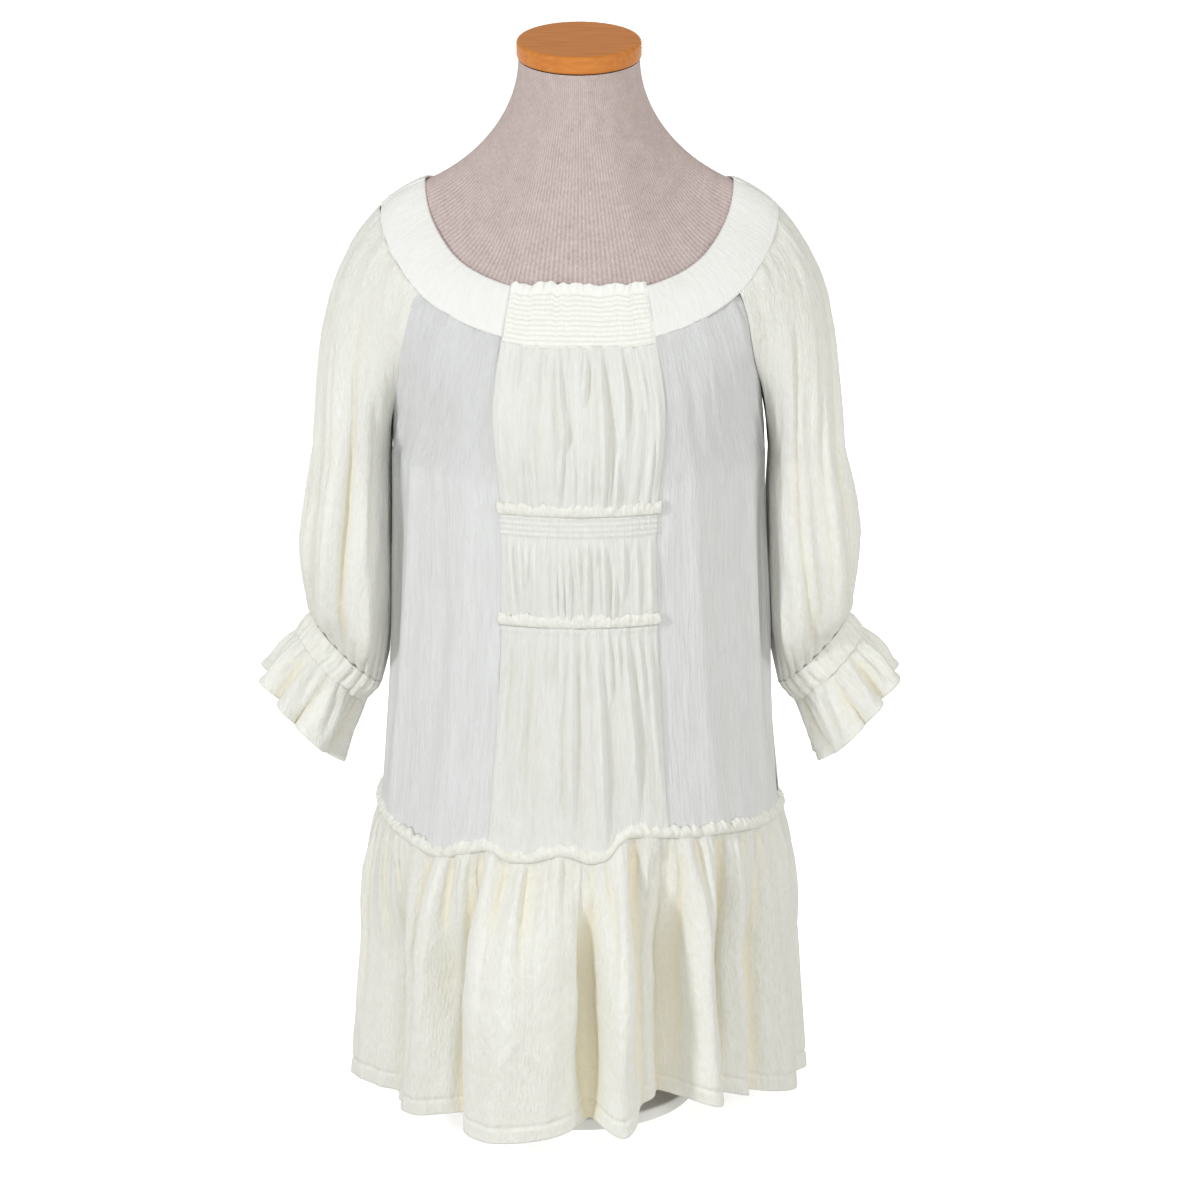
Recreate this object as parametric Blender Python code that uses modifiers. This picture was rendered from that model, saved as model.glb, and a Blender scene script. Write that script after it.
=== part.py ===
"""Smocked mini dress of ivory crinkled gauze on a limbless table-top dress form.

Metres, Z up. The dress faces -Y and the wearer's left is +X.
The origin is the centre of the base's underside.
An angle is in degrees round the body: 0 is the front, 90 the wearer's left, 180 the back.
"""

import math

import bmesh
import bpy
import numpy as np

# Cloth
CLOTH = 0.0014
BAND_CLOTH = 0.0018
FRILL_CLOTH = 0.0010
SEAM_GAP = 0.0004
SEAM_GAP_DEGREES = 0.12
SLEEVE_GAP = 0.0009

# Heights of the main lines
UNDERARM_Z = 0.600
HEADER_UPPER_Z = 0.576
HEADER_LOWER_Z = 0.4805
HEADER_HEIGHT = 0.0105

# Sizes measured down from the neck edge
NECKBAND_WIDTH = 0.044
SMOCKING_LENGTH = 0.048
SMOCKING_FRILL = 0.007
SMOCKING_ROWS = 8

# Numbers of gathers and waves
SMOCKING_PLEATS = 9
UPPER_GATHERS = 10
MID_GATHERS = 12
LOWER_GATHERS = 7
HEADER_WAVES = 12
TIER_FRONT_GATHERS = 20
TIER_BACK_GATHERS = 12
TIER_HEADER_WAVES = 18
CASING_GATHERS = 12
RUFFLE_WAVES = 7

# Stand
BASE_RADIUS = 0.105
BASE_THICKNESS = 0.012
POST_RADIUS = 0.0125
CAP_RADIUS = 0.0527
CAP_THICKNESS = 0.0155
CAP_TILT = math.radians(8.8)
NECK_TOP_RADIUS = 0.0512
NECK_TOP_Z = 0.9365
FORM_INSET_FRONT = 0.0042
FORM_INSET_SHOULDER = 0.0006
FORM_INSET_UNDERARM = 0.013
FORM_BOTTOM_Z = 0.245
REST_GAP = 0.0003

# Neck edge: angle, x, y, z
NECK_EDGE = (
    (-24, -0.056, -0.090, 0.7600),
    (0, 0.000, -0.095, 0.7570),
    (24, 0.056, -0.090, 0.7600),
    (45, 0.098, -0.064, 0.7750),
    (68, 0.1235, -0.030, 0.8040),
    (90, 0.131, 0.002, 0.8320),
    (112, 0.121, 0.034, 0.8290),
    (135, 0.094, 0.058, 0.8210),
    (158, 0.050, 0.074, 0.8140),
    (180, 0.000, 0.080, 0.8110),
    (202, -0.050, 0.074, 0.8140),
)

# Way the cloth leaves the neck edge: angle, x, y, z, reach from the neck, reach above the underarm
NECK_LEAVING = (
    (-24, -0.20, -0.50, -0.84, 0.062, 0.072),
    (0, 0.00, -0.50, -0.87, 0.060, 0.070),
    (24, 0.20, -0.50, -0.84, 0.062, 0.072),
    (45, 0.72, -0.36, -0.60, 0.080, 0.090),
    (68, 0.90, -0.14, -0.42, 0.110, 0.110),
    (90, 0.92, 0.00, -0.39, 0.120, 0.120),
    (112, 0.88, 0.18, -0.45, 0.110, 0.115),
    (135, 0.66, 0.42, -0.62, 0.080, 0.100),
    (158, 0.34, 0.46, -0.82, 0.065, 0.090),
    (180, 0.00, 0.44, -0.90, 0.060, 0.085),
    (202, -0.34, 0.46, -0.82, 0.065, 0.090),
)

# Dress body rings: height, half width, depth in front, depth behind
BODY_RINGS = (
    (0.240, 0.1800, 0.163, 0.134),
    (0.280, 0.1765, 0.160, 0.131),
    (0.374, 0.1680, 0.153, 0.124),
    (0.480, 0.1625, 0.149, 0.119),
    (0.556, 0.1600, 0.147, 0.117),
    (0.600, 0.1600, 0.145, 0.116),
)

# Seam between the centre panels and the side fronts: height, angle
CENTRE_SEAM = (
    (0.270, 26.2),
    (0.380, 24.6),
    (0.480, 23.7),
    (0.576, 24.0),
    (0.660, 26.0),
    (0.715, 24.2),
    (0.760, 24.2),
)

# Seam between body and tier: angle, height
TIER_SEAM = (
    (-100, 0.279),
    (-80, 0.275),
    (-67, 0.272),
    (-55, 0.268),
    (-43, 0.265),
    (-34, 0.273),
    (-26, 0.280),
    (-19, 0.273),
    (-13, 0.275),
    (-4, 0.281),
    (4, 0.275),
    (8, 0.279),
    (12, 0.293),
    (20, 0.294),
    (33, 0.289),
    (45, 0.285),
    (58, 0.279),
    (75, 0.274),
    (90, 0.272),
    (135, 0.276),
    (180, 0.278),
    (225, 0.277),
    (260, 0.279),
    (280, 0.275),
)

# Hem: angle, height
HEM = (
    (-100, 0.021),
    (-60, 0.028),
    (-45, 0.034),
    (-22, 0.040),
    (0, 0.042),
    (10, 0.045),
    (20, 0.054),
    (28, 0.053),
    (38, 0.048),
    (60, 0.030),
    (90, 0.018),
    (135, 0.024),
    (180, 0.028),
    (225, 0.026),
    (260, 0.021),
    (300, 0.028),
)
HEM_HALF_WIDTH = 0.200
HEM_FRONT = 0.185
HEM_BACK = 0.165

# Tier folds at the hem: angle, distance out from the plain cone
TIER_FOLDS = (
    (-100, 0.000),
    (-90, 0.004),
    (-80, 0.009),
    (-70, -0.004),
    (-61, -0.016),
    (-54, -0.002),
    (-48, 0.011),
    (-41, 0.012),
    (-35, -0.004),
    (-31, -0.008),
    (-26, 0.026),
    (-20, 0.042),
    (-12, 0.037),
    (-5, 0.020),
    (0, -0.004),
    (3, -0.016),
    (6, 0.014),
    (9.5, 0.034),
    (13, 0.014),
    (16, -0.012),
    (20, -0.020),
    (24.5, -0.036),
    (29, -0.014),
    (34, 0.013),
    (38, 0.004),
    (43, -0.026),
    (47, -0.018),
    (51, -0.008),
    (56, -0.022),
    (63, -0.002),
    (71, 0.006),
    (80, -0.006),
    (90, 0.006),
    (99, -0.008),
    (109, 0.015),
    (120, -0.016),
    (131, 0.019),
    (141, -0.014),
    (151, 0.013),
    (159, -0.017),
    (169, 0.021),
    (180, -0.010),
    (190, 0.016),
    (200, -0.016),
    (210, 0.014),
    (221, -0.018),
    (232, 0.017),
    (243, -0.012),
    (254, 0.014),
    (264, -0.006),
    (270, 0.004),
    (280, 0.009),
)

# Sleeve rings below the underarm: x, z, half width, half depth, tilt in degrees
SLEEVE_RINGS = (
    (0.1950, 0.6010, 0.0335, 0.0700, 0),
    (0.1992, 0.5500, 0.0378, 0.0730, 4),
    (0.2042, 0.5000, 0.0418, 0.0720, 11),
    (0.2068, 0.4550, 0.0452, 0.0620, 27),
    (0.2050, 0.4180, 0.0430, 0.0330, 46),
)
SLEEVE_FOLDS = (
    (0.00, 0.000),
    (0.10, 0.001),
    (0.18, 0.006),
    (0.25, -0.004),
    (0.32, 0.006),
    (0.40, -0.004),
    (0.48, 0.005),
    (0.57, -0.003),
    (0.66, 0.006),
    (0.76, -0.004),
    (0.86, 0.005),
    (0.93, 0.000),
    (1.00, 0.000),
)
RAGLAN_FRONT_TOP = 50
RAGLAN_BACK_TOP = 132
RAGLAN_BEND = 2.2

# Cuff rings: x, z, half width, half depth, tilt in degrees
CASING_RINGS = (
    (0.2053, 0.4177, 0.0430, 0.0330, 46),
    (0.2195, 0.4012, 0.0430, 0.0330, 47),
)
RUFFLE_RINGS = (
    (0.2198, 0.4009, 0.0430, 0.0330, 47),
    (0.2340, 0.3790, 0.0465, 0.0400, 48),
    (0.2465, 0.3555, 0.0495, 0.0450, 50),
)
RUFFLE_WAVE = 0.0065

# Form below the underarm: height, half width, depth in front, depth behind
FORM_RINGS = (
    (0.245, 0.1560, 0.104, 0.107),
    (0.265, 0.1590, 0.108, 0.110),
    (0.320, 0.1570, 0.108, 0.110),
    (0.380, 0.1460, 0.102, 0.102),
    (0.440, 0.1300, 0.094, 0.088),
    (0.485, 0.1240, 0.091, 0.080),
    (0.530, 0.1300, 0.103, 0.086),
    (0.570, 0.1400, 0.122, 0.096),
    (0.600, 0.1460, 0.130, 0.102),
)

MATERIALS = {
    "gauze": ((0.90, 0.89, 0.83), 0.9),
    "neckband": ((0.93, 0.92, 0.88), 0.85),
    "form_knit": ((0.58, 0.49, 0.42), 0.95),
    "cap_wood": ((0.62, 0.33, 0.13), 0.35),
    "stand_metal": ((0.90, 0.90, 0.88), 0.45),
}


def through(rows):
    """A smooth curve through a table whose first column says where."""
    table = np.array(rows, float)
    where, values = table[:, 0], table[:, 1:]
    slopes = np.gradient(values, where, axis=0)

    def value(at):
        at = min(max(at, where[0]), where[-1])
        k = min(int(np.searchsorted(where, at, side="right")) - 1, len(where) - 2)
        step = where[k + 1] - where[k]
        t = (at - where[k]) / step
        start = (1 + 2 * t) * (1 - t) ** 2 * values[k] + t * (1 - t) ** 2 * step * slopes[k]
        end = t * t * (3 - 2 * t) * values[k + 1] - t * t * (1 - t) * step * slopes[k + 1]
        found = start + end
        return float(found[0]) if len(found) == 1 else found

    return value


def gentle(t):
    """Eases from 0 to 1."""
    t = min(max(t, 0.0), 1.0)
    return t * t * (3 - 2 * t)


neck_edge = through(NECK_EDGE)
neck_leaving = through(NECK_LEAVING)
body_ring = through(BODY_RINGS)
centre_seam = through(CENTRE_SEAM)
tier_seam = through(TIER_SEAM)
hem = through(HEM)
tier_folds = through(TIER_FOLDS)
sleeve_folds = through(SLEEVE_FOLDS)
form_ring = through(FORM_RINGS)
meridians = {}


def oval(angle, sizes):
    """A point of a ring whose front and back halves have their own depths."""
    half_width, front, back = sizes
    turn = math.radians(angle)
    depth = front if math.cos(turn) > 0 else back
    return np.array([half_width * math.sin(turn), -depth * math.cos(turn)])


def meridian(angle):
    """The line from the neck edge down to the underarm level, as points and lengths along it."""
    key = round(angle, 5)
    if key not in meridians:
        start = neck_edge(angle)
        leaving = neck_leaving(angle)
        way = leaving[:3] / np.linalg.norm(leaving[:3])
        end = np.array([*oval(angle, body_ring(UNDERARM_Z)), UNDERARM_Z])
        corners = (start, start + way * leaving[3], end + np.array([0, 0, leaving[4]]), end)
        t = np.linspace(0, 1, 61)[:, None]
        weights = ((1 - t) ** 3, 3 * t * (1 - t) ** 2, 3 * t * t * (1 - t), t**3)
        points = sum(w * c for w, c in zip(weights, corners))
        steps = np.linalg.norm(np.diff(points, axis=0), axis=1)
        meridians[key] = points, np.concatenate([[0], np.cumsum(steps)]), way
    return meridians[key]


def reach(angle):
    """Length from the neck edge to the underarm level."""
    return meridian(abs((angle + 180) % 360 - 180))[1][-1]


def body(angle, down):
    """The point of the dress's outside that lies this far down from the neck edge."""
    turn = (angle + 180) % 360 - 180
    side = -1 if turn < 0 else 1
    points, lengths, way = meridian(abs(turn))
    if down < 0:
        found = points[0] + way * down
    elif down <= lengths[-1]:
        found = np.array([np.interp(down, lengths, points[:, k]) for k in range(3)])
    else:
        z = UNDERARM_Z - (down - lengths[-1])
        found = np.array([*oval(abs(turn), body_ring(z)), z])
    return found * (side, 1, 1)


def down_to(angle, z):
    """Distance down from the neck edge to a height below the underarm."""
    return reach(angle) + UNDERARM_Z - z


def seam_angle(down):
    """Angle of the centre seam at a distance down."""
    return centre_seam(body(24, down)[2])


def raglan_front(share):
    return RAGLAN_FRONT_TOP + (90 - RAGLAN_FRONT_TOP) * share**RAGLAN_BEND


def raglan_back(share):
    return RAGLAN_BACK_TOP - (RAGLAN_BACK_TOP - 90) * share**RAGLAN_BEND


def lerp(a, b, t):
    return a + (b - a) * t


def outward(points, quads):
    """Unit normals at the points."""
    corners = points[quads]
    across = np.cross(corners[:, 2] - corners[:, 0], corners[:, 3] - corners[:, 1])
    total = np.zeros_like(points)
    for k in range(4):
        np.add.at(total, quads[:, k], across)
    return total / np.linalg.norm(total, axis=1)[:, None]


def add_object(name, points, faces, material):
    mesh = bpy.data.meshes.new(name)
    mesh.from_pydata([tuple(p) for p in points], [], [tuple(f) for f in faces])
    made = bmesh.new()
    made.from_mesh(mesh)
    bmesh.ops.recalc_face_normals(made, faces=made.faces)
    made.to_mesh(mesh)
    made.free()
    for polygon in mesh.polygons:
        polygon.use_smooth = True
    item = bpy.data.objects.new(name, mesh)
    collection.objects.link(item)
    paint(item, material)
    return item


def paint(item, material):
    colour, roughness = MATERIALS[material]
    finish = bpy.data.materials.new(f"{item.name}_{material}")
    finish.use_nodes = True
    shader = finish.node_tree.nodes["Principled BSDF"]
    shader.inputs["Base Color"].default_value = (*colour, 1)
    shader.inputs["Roughness"].default_value = roughness
    item.data.materials.clear()
    item.data.materials.append(finish)


def turned(quad):
    """The quad facing the other way, still split from the same corner."""
    return [quad[0], quad[3], quad[2], quad[1]]


def facing_in_planes(points, quads, axes):
    """Unit normals, laid into the ring's plane wherever a ring axis is given."""
    normals = outward(points, quads)
    if axes is not None:
        axes = np.array(axes, float)
        normals = normals - axes * (normals * axes).sum(axis=1)[:, None]
        normals = normals / np.linalg.norm(normals, axis=1)[:, None]
    return normals


def wall(name, points, quads, thickness, material="gauze", swell=None, relief=None, axes=None):
    """A closed cloth wall: the surface given, its plain inside, and the rim that joins them."""
    points = np.array(points, float)
    quads = np.array(quads, int)
    if swell is not None:
        points = points + facing_in_planes(points, quads, axes) * np.array(swell)[:, None]
    normals = facing_in_planes(points, quads, axes)
    inside = points - normals * thickness
    if relief is not None:
        points = points + normals * np.array(relief)[:, None]
    count = len(points)
    edges = {(int(q[k]), int(q[(k + 1) % 4])) for q in quads for k in range(4)}
    rim = [(b, a, a + count, b + count) for a, b in sorted(edges) if (b, a) not in edges]
    lining = [tuple(k + count for k in turned(q)) for q in quads]
    faces = [tuple(q) for q in quads] + lining + rim
    return add_object(name, np.concatenate([points, inside]), faces, material)


def sheet(name, place, across, down, thickness=CLOTH, material="gauze",
          swell=None, relief=None, axis=None, closed=False, flip=False):
    """A wall on a grid of points: place, swell, relief and axis take the shares across and down."""
    columns = across if closed else across + 1
    shares = [(c / across, r / down) for r in range(down + 1) for c in range(columns)]
    points = [place(c, r) for c, r in shares]
    quads = []
    for r in range(down):
        for c in range(across):
            near, far = r * columns, (r + 1) * columns
            after = (c + 1) % columns
            quad = [near + c, far + c, far + after, near + after]
            quads.append(turned(quad) if flip else quad)
    swells = [swell(c, r) for c, r in shares] if swell else None
    reliefs = [relief(c, r) for c, r in shares] if relief else None
    axes = [axis(c, r) for c, r in shares] if axis else None
    return wall(name, points, quads, thickness, material, swells, reliefs, axes)


def waves(share, count, unevenness=0.35):
    """Gathers across a width, a little uneven in spacing, that end level at both edges."""
    moved = share + unevenness / count * math.sin(2 * math.pi * share * 2.3) / 2
    fade = min(1.0, share * count * 0.9, (1 - share) * count * 0.9)
    return math.sin(2 * math.pi * count * moved) * max(fade, 0.0)


def square_at(*seams):
    """Keeps the rims flat along the side and shoulder seams, where front and back face each other."""
    return lambda c, r: np.array([0, 1, 0]) if c in seams else np.zeros(3)


# Neck
def add_neckbands():
    lap = SEAM_GAP_DEGREES

    def strip(start, end):
        return lambda c, r: body(lerp(start, end, c), NECKBAND_WIDTH * r)

    edge = centre_seam(0.76) + lap
    sheet("neckband_left", strip(edge, 90 - lap), 10, 3, BAND_CLOTH, "neckband", axis=square_at(1))
    sheet("neckband_right", strip(-90 + lap, -edge), 10, 3, BAND_CLOTH, "neckband", axis=square_at(0))
    sheet("neckband_back", strip(90 + lap, 270 - lap), 18, 3, BAND_CLOTH, "neckband", axis=square_at(0, 1))


def add_neck_smocking():
    """Shirred insert with raised rows and a small frill that stands above the neck edge."""
    edge = centre_seam(0.76) - SEAM_GAP_DEGREES
    down = 2 + 2 * SMOCKING_ROWS

    def line(r):
        step = r * down
        if step <= 2:
            return -SMOCKING_FRILL * (1 - step / 2)
        return SMOCKING_LENGTH * (step - 2) / (down - 2)

    def place(c, r):
        return body(lerp(-edge, edge, c), line(r))

    def swell(c, r):
        standing = max(0.0, -line(r) / SMOCKING_FRILL)
        return 0.0012 * waves(c, SMOCKING_PLEATS) * standing

    def relief(c, r):
        step = round(r * down)
        row = 0.0010 if step > 2 and step % 2 == 1 else 0.0
        return row + 0.00025 * (1 + waves(c, SMOCKING_PLEATS))

    sheet("neck_smocking", place, 2 * SMOCKING_PLEATS, down, CLOTH, "gauze", swell, relief)


# Front
def centre_place(top, bottom):
    """Places a centre panel between two lines, each a distance down for an angle."""

    def place(c, r):
        down = lerp(top(24), bottom(24), r)
        edge = seam_angle(down) - SEAM_GAP_DEGREES
        angle = lerp(-edge, edge, c)
        return body(angle, lerp(top(angle), bottom(angle), r))

    return place


def add_centre_panels():
    def at(z):
        return lambda angle: down_to(angle, z)

    def seam_at_tier(angle):
        return down_to(angle, tier_seam(angle) + SEAM_GAP)

    def upper_swell(c, r):
        puff = 0.006 * math.sin(math.pi * r) ** 0.8 * math.sin(math.pi * c) ** 0.6
        return puff + 0.0016 * waves(c, UPPER_GATHERS) * (1 - 0.5 * math.sin(math.pi * r))

    def mid_swell(c, r):
        puff = 0.003 * math.sin(math.pi * r) * math.sin(math.pi * c) ** 0.6
        return puff + 0.0012 * waves(c, MID_GATHERS)

    def mid_relief(c, r):
        return 0.0010 if round(r * 10) in (1, 3, 5) else 0.0

    def lower_swell(c, r):
        puff = 0.005 * gentle(r * 1.5) * math.sin(math.pi * c) ** 0.6 * (1 - gentle(r * 2 - 1))
        return puff + 0.0024 * waves(c, LOWER_GATHERS) * (0.4 + 0.6 * math.sin(math.pi * r))

    def smocking_edge(angle):
        return SMOCKING_LENGTH + SEAM_GAP

    upper = centre_place(smocking_edge, at(HEADER_UPPER_Z + SEAM_GAP))
    sheet("centre_upper", upper, 3 * UPPER_GATHERS, 6, swell=upper_swell)

    uneven = centre_place(at(HEADER_UPPER_Z), at(HEADER_LOWER_Z + SEAM_GAP))

    def middle(c, r):
        step = r * 10
        share = step * 0.025 if step <= 6 else lerp(0.15, 1, (step - 6) / 4)
        return uneven(c, share)

    sheet("centre_mid", middle, 2 * MID_GATHERS, 10, swell=mid_swell, relief=mid_relief)

    lower = centre_place(at(HEADER_LOWER_Z), seam_at_tier)
    sheet("centre_lower", lower, 4 * LOWER_GATHERS, 6, swell=lower_swell)

    def standing_on(foot):
        return lambda c, r: lerp(0.0072 + 0.0012 * waves(c, HEADER_WAVES), foot, r)

    headers = (("header_upper", HEADER_UPPER_Z, 0.0031), ("header_lower", HEADER_LOWER_Z, 0.0026))
    for name, z, foot in headers:
        strip = centre_place(at(z + HEADER_HEIGHT + SEAM_GAP), at(z + SEAM_GAP))
        sheet(name, strip, 3 * HEADER_WAVES, 1, FRILL_CLOTH, swell=standing_on(foot))


def add_side_fronts():
    top = NECKBAND_WIDTH + SEAM_GAP
    upper_share = 4 / 9

    def strip(side):
        def place(c, r):
            if r <= upper_share:
                share = r / upper_share
                seam = seam_angle(lerp(top, reach(24), share)) + SEAM_GAP_DEGREES
                edge = raglan_front(share) - SEAM_GAP_DEGREES
                angle = lerp(seam, edge, c)
                return body(side * angle, lerp(top, reach(angle), share))
            share = (r - upper_share) / (1 - upper_share)
            end = tier_seam(side * 24) + SEAM_GAP
            seam = seam_angle(down_to(24, lerp(UNDERARM_Z, end, share))) + SEAM_GAP_DEGREES
            angle = side * lerp(seam, 90 - SEAM_GAP_DEGREES, c)
            return body(angle, down_to(angle, lerp(UNDERARM_Z, tier_seam(angle) + 2 * SEAM_GAP, share)))

        return place

    sheet("front_left", strip(1), 9, 9)
    sheet("front_right", strip(-1), 9, 9, flip=True)


def add_back():
    top = NECKBAND_WIDTH + 2 * SEAM_GAP
    upper_share = 0.4

    def place(c, r):
        if r <= upper_share:
            share = r / upper_share
            edge = raglan_back(share) + SEAM_GAP_DEGREES
            angle = lerp(edge, 360 - edge, c)
            return body(angle, lerp(top, reach(angle), share))
        share = (r - upper_share) / (1 - upper_share)
        angle = lerp(90 + SEAM_GAP_DEGREES, 270 - SEAM_GAP_DEGREES, c)
        return body(angle, down_to(angle, lerp(UNDERARM_Z, tier_seam(angle) + SEAM_GAP, share)))

    def swell(c, r):
        folds = math.cos(2 * math.pi * 4 * (c - 0.5)) * math.sin(math.pi * c)
        return 0.004 * folds * gentle(r * 1.3 - 0.2) * (1 - gentle(r * 3 - 2))

    sheet("back", place, 18, 10, swell=swell)


# Tier
def tier_point(angle, share):
    """A point of the plain cone that the tier's folds stand out from."""
    front_angle = angle if angle <= 180 else angle - 360
    top = tier_seam(angle) - SEAM_GAP
    z = lerp(top, hem(angle), share)
    wide = np.array(oval(angle, body_ring(top)))
    low = np.array(oval(angle, (HEM_HALF_WIDTH, HEM_FRONT, HEM_BACK)))
    flat = lerp(wide, low, share**0.85)
    facing = np.array([math.sin(math.radians(front_angle)), -math.cos(math.radians(front_angle))])
    return flat, facing, z


def tier_place(start, end, gathers):
    def place(c, r):
        angle = lerp(start, end, c)
        share = r**1.15
        flat, facing, z = tier_point(angle, share)
        folds = tier_folds(angle) * gentle(share * 1.35) ** 0.7
        small = 0.0022 * waves(c, gathers) * (1 - share) ** 2
        bulge = 0.006 * math.sin(math.pi * min(share * 2.2, 1.0))
        flat = flat + facing * (folds + small + bulge)
        return np.array([*flat, z])

    return place


def add_tier():
    lap = SEAM_GAP_DEGREES
    front = tier_place(-90 + lap, 90 - lap, TIER_FRONT_GATHERS)
    back = tier_place(90 + lap, 270 - lap, TIER_BACK_GATHERS)
    sheet("tier_front", front, 4 * TIER_FRONT_GATHERS, 5, axis=square_at(0, 1))
    sheet("tier_back", back, 4 * TIER_BACK_GATHERS, 5, axis=square_at(0, 1))


def add_tier_headers():
    """The raw upper edge of the tier, which stands as a small frill over the seam."""
    lap = 2 * SEAM_GAP_DEGREES

    def strip(start, end):
        def place(c, r):
            angle = lerp(start, end, c)
            z = tier_seam(angle) + SEAM_GAP + HEADER_HEIGHT * (1 - r)
            return body(angle, down_to(angle, z))

        return place

    def standing_on(foot):
        return lambda c, r: lerp(0.0044 + 0.0016 * waves(c, TIER_HEADER_WAVES), foot, r)

    for name, start, foot in (("tier_header_front", -90, 0.0025), ("tier_header_back", 90, 0.0016)):
        sheet(name, strip(start + lap, start + 180 - lap), 3 * TIER_HEADER_WAVES, 1, FRILL_CLOTH,
              swell=standing_on(foot), axis=square_at(0, 1))


# Sleeves
def tube_ring(sizes, share):
    """A point round a sleeve: from the body side to the front, the outside and the back."""
    x, z, half_width, half_depth, tilt = sizes
    turn, lean = 2 * math.pi * share, math.radians(tilt)
    out = -half_width * math.cos(turn)
    return np.array([x + out * math.cos(lean), -half_depth * math.sin(turn), z + out * math.sin(lean)])


def tube_axis(sizes, side):
    """The way down a sleeve, square to one of its rings."""
    lean = math.radians(sizes[4])
    return np.array([side * math.sin(lean), 0, -math.cos(lean)])


def sleeve_cap(share, down):
    """The open upper sleeve, between the band and the underarm, along the raglan seams."""
    gap = 2 * SEAM_GAP_DEGREES
    top = NECKBAND_WIDTH + SLEEVE_GAP
    angle = lerp(RAGLAN_FRONT_TOP + gap, RAGLAN_BACK_TOP - gap, share)
    start = body(angle, top)
    way = body(angle, top + 0.004) - start
    way = way / np.linalg.norm(way)
    end = tube_ring(SLEEVE_RINGS[0], share)
    bow = 0.25 + 0.75 * math.sin(math.pi * share)
    corners = (start, start + way * 0.072 * bow, end + np.array([-0.006, 0, 0.085]) * bow, end)
    t = down
    weights = ((1 - t) ** 3, 3 * t * (1 - t) ** 2, 3 * t * t * (1 - t), t**3)
    return sum(w * c for w, c in zip(weights, corners))


def raglan_edge(down, front):
    gap = 2 * SEAM_GAP_DEGREES
    angle = raglan_front(down) + gap if front else raglan_back(down) - gap
    edge = body(angle, lerp(NECKBAND_WIDTH + SLEEVE_GAP, reach(angle), down))
    return edge + np.array([0.0015, 0, 0.001]) * gentle(down * 2 - 1)


def sleeve_point(share, down):
    """A point of the upper sleeve, drawn to the raglan seams at its two edges."""
    found = sleeve_cap(share, down)
    near_front = max(0.0, 1 - share / 0.4) ** 2
    near_back = max(0.0, 1 - (1 - share) / 0.4) ** 2
    found = found + near_front * (raglan_edge(down, True) - sleeve_cap(0, down))
    return found + near_back * (raglan_edge(down, False) - sleeve_cap(1, down))


def add_sleeve(side, name):
    across, upper, lower = 24, 5, 7
    rings = through([(k, *row) for k, row in enumerate(SLEEVE_RINGS)])
    points, swell, axes, index = [], [], [], {}
    for r in range(upper + lower + 1):
        columns = across + 1 if r < upper else across
        for c in range(columns):
            share = c / across
            index[r, c] = len(points)
            if r < upper:
                points.append(sleeve_point(share, r / upper))
            else:
                step = (r - upper) / lower * (len(SLEEVE_RINGS) - 1)
                points.append(tube_ring(rings(step), share))
                if r == upper and c == 0:
                    points[-1] = raglan_edge(1, True)
            grow = gentle((r - 1) / (upper + 3)) * (1 - 0.7 * gentle((r - upper - lower + 2) / 2))
            swell.append(sleeve_folds(share) * grow * (0 if c in (0, across) else 1))
            last = r == upper + lower
            axes.append(tube_axis(SLEEVE_RINGS[-1], side) if last else np.zeros(3))
        if r >= upper:
            index[r, across] = index[r, 0]
    quads = []
    for r in range(upper + lower):
        for c in range(across):
            quad = [index[r, c], index[r + 1, c], index[r + 1, c + 1], index[r, c + 1]]
            quads.append(quad if side > 0 else turned(quad))
    points = np.array(points) * (side, 1, 1)
    wall(name, points, quads, CLOTH, "gauze", swell, axes=axes)


def add_cuff(side, word):
    casing = through([(k, *row) for k, row in enumerate(CASING_RINGS)])
    ruffle = through([(k / 2, *row) for k, row in enumerate(RUFFLE_RINGS)])

    def casing_place(c, r):
        sizes = np.array(casing(r))
        return tube_ring(sizes, c) * (side, 1, 1)

    def casing_swell(c, r):
        return 0.0013 * math.sin(2 * math.pi * CASING_GATHERS * c) + 0.0006 * math.sin(math.pi * r)

    def ruffle_place(c, r):
        return tube_ring(ruffle(r), c) * (side, 1, 1)

    def ruffle_swell(c, r):
        wave = math.sin(2 * math.pi * RUFFLE_WAVES * c + 0.8 * math.sin(2 * math.pi * 3 * c))
        return wave * lerp(0.0012, RUFFLE_WAVE, r)

    flip = side < 0
    sheet(f"cuff_band_{word}", casing_place, 3 * CASING_GATHERS, 2, CLOTH,
          swell=casing_swell, axis=lambda c, r: tube_axis(casing(r), side), closed=True, flip=flip)
    sheet(f"cuff_ruffle_{word}", ruffle_place, 5 * RUFFLE_WAVES, 3, CLOTH,
          swell=ruffle_swell, axis=lambda c, r: tube_axis(ruffle(r), side), closed=True, flip=flip)


# Form and stand
def form_point(angle, down):
    """A point of the form under the dress, set in from the cloth."""
    found = body(angle, down)
    along = body(angle, down + 0.002) - body(angle, down - 0.002 if down > 0.002 else 0)
    around = body(angle + 0.5, down) - body(angle - 0.5, down)
    facing = np.cross(along, around)
    facing = facing / np.linalg.norm(facing)
    share = down / reach(angle)
    shoulder = math.sin(math.radians(angle)) ** 4
    near = lerp(FORM_INSET_FRONT, BAND_CLOTH + FORM_INSET_SHOULDER, shoulder)
    return found - facing * lerp(near, FORM_INSET_UNDERARM, gentle(share * 1.2 - 0.2))


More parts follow.
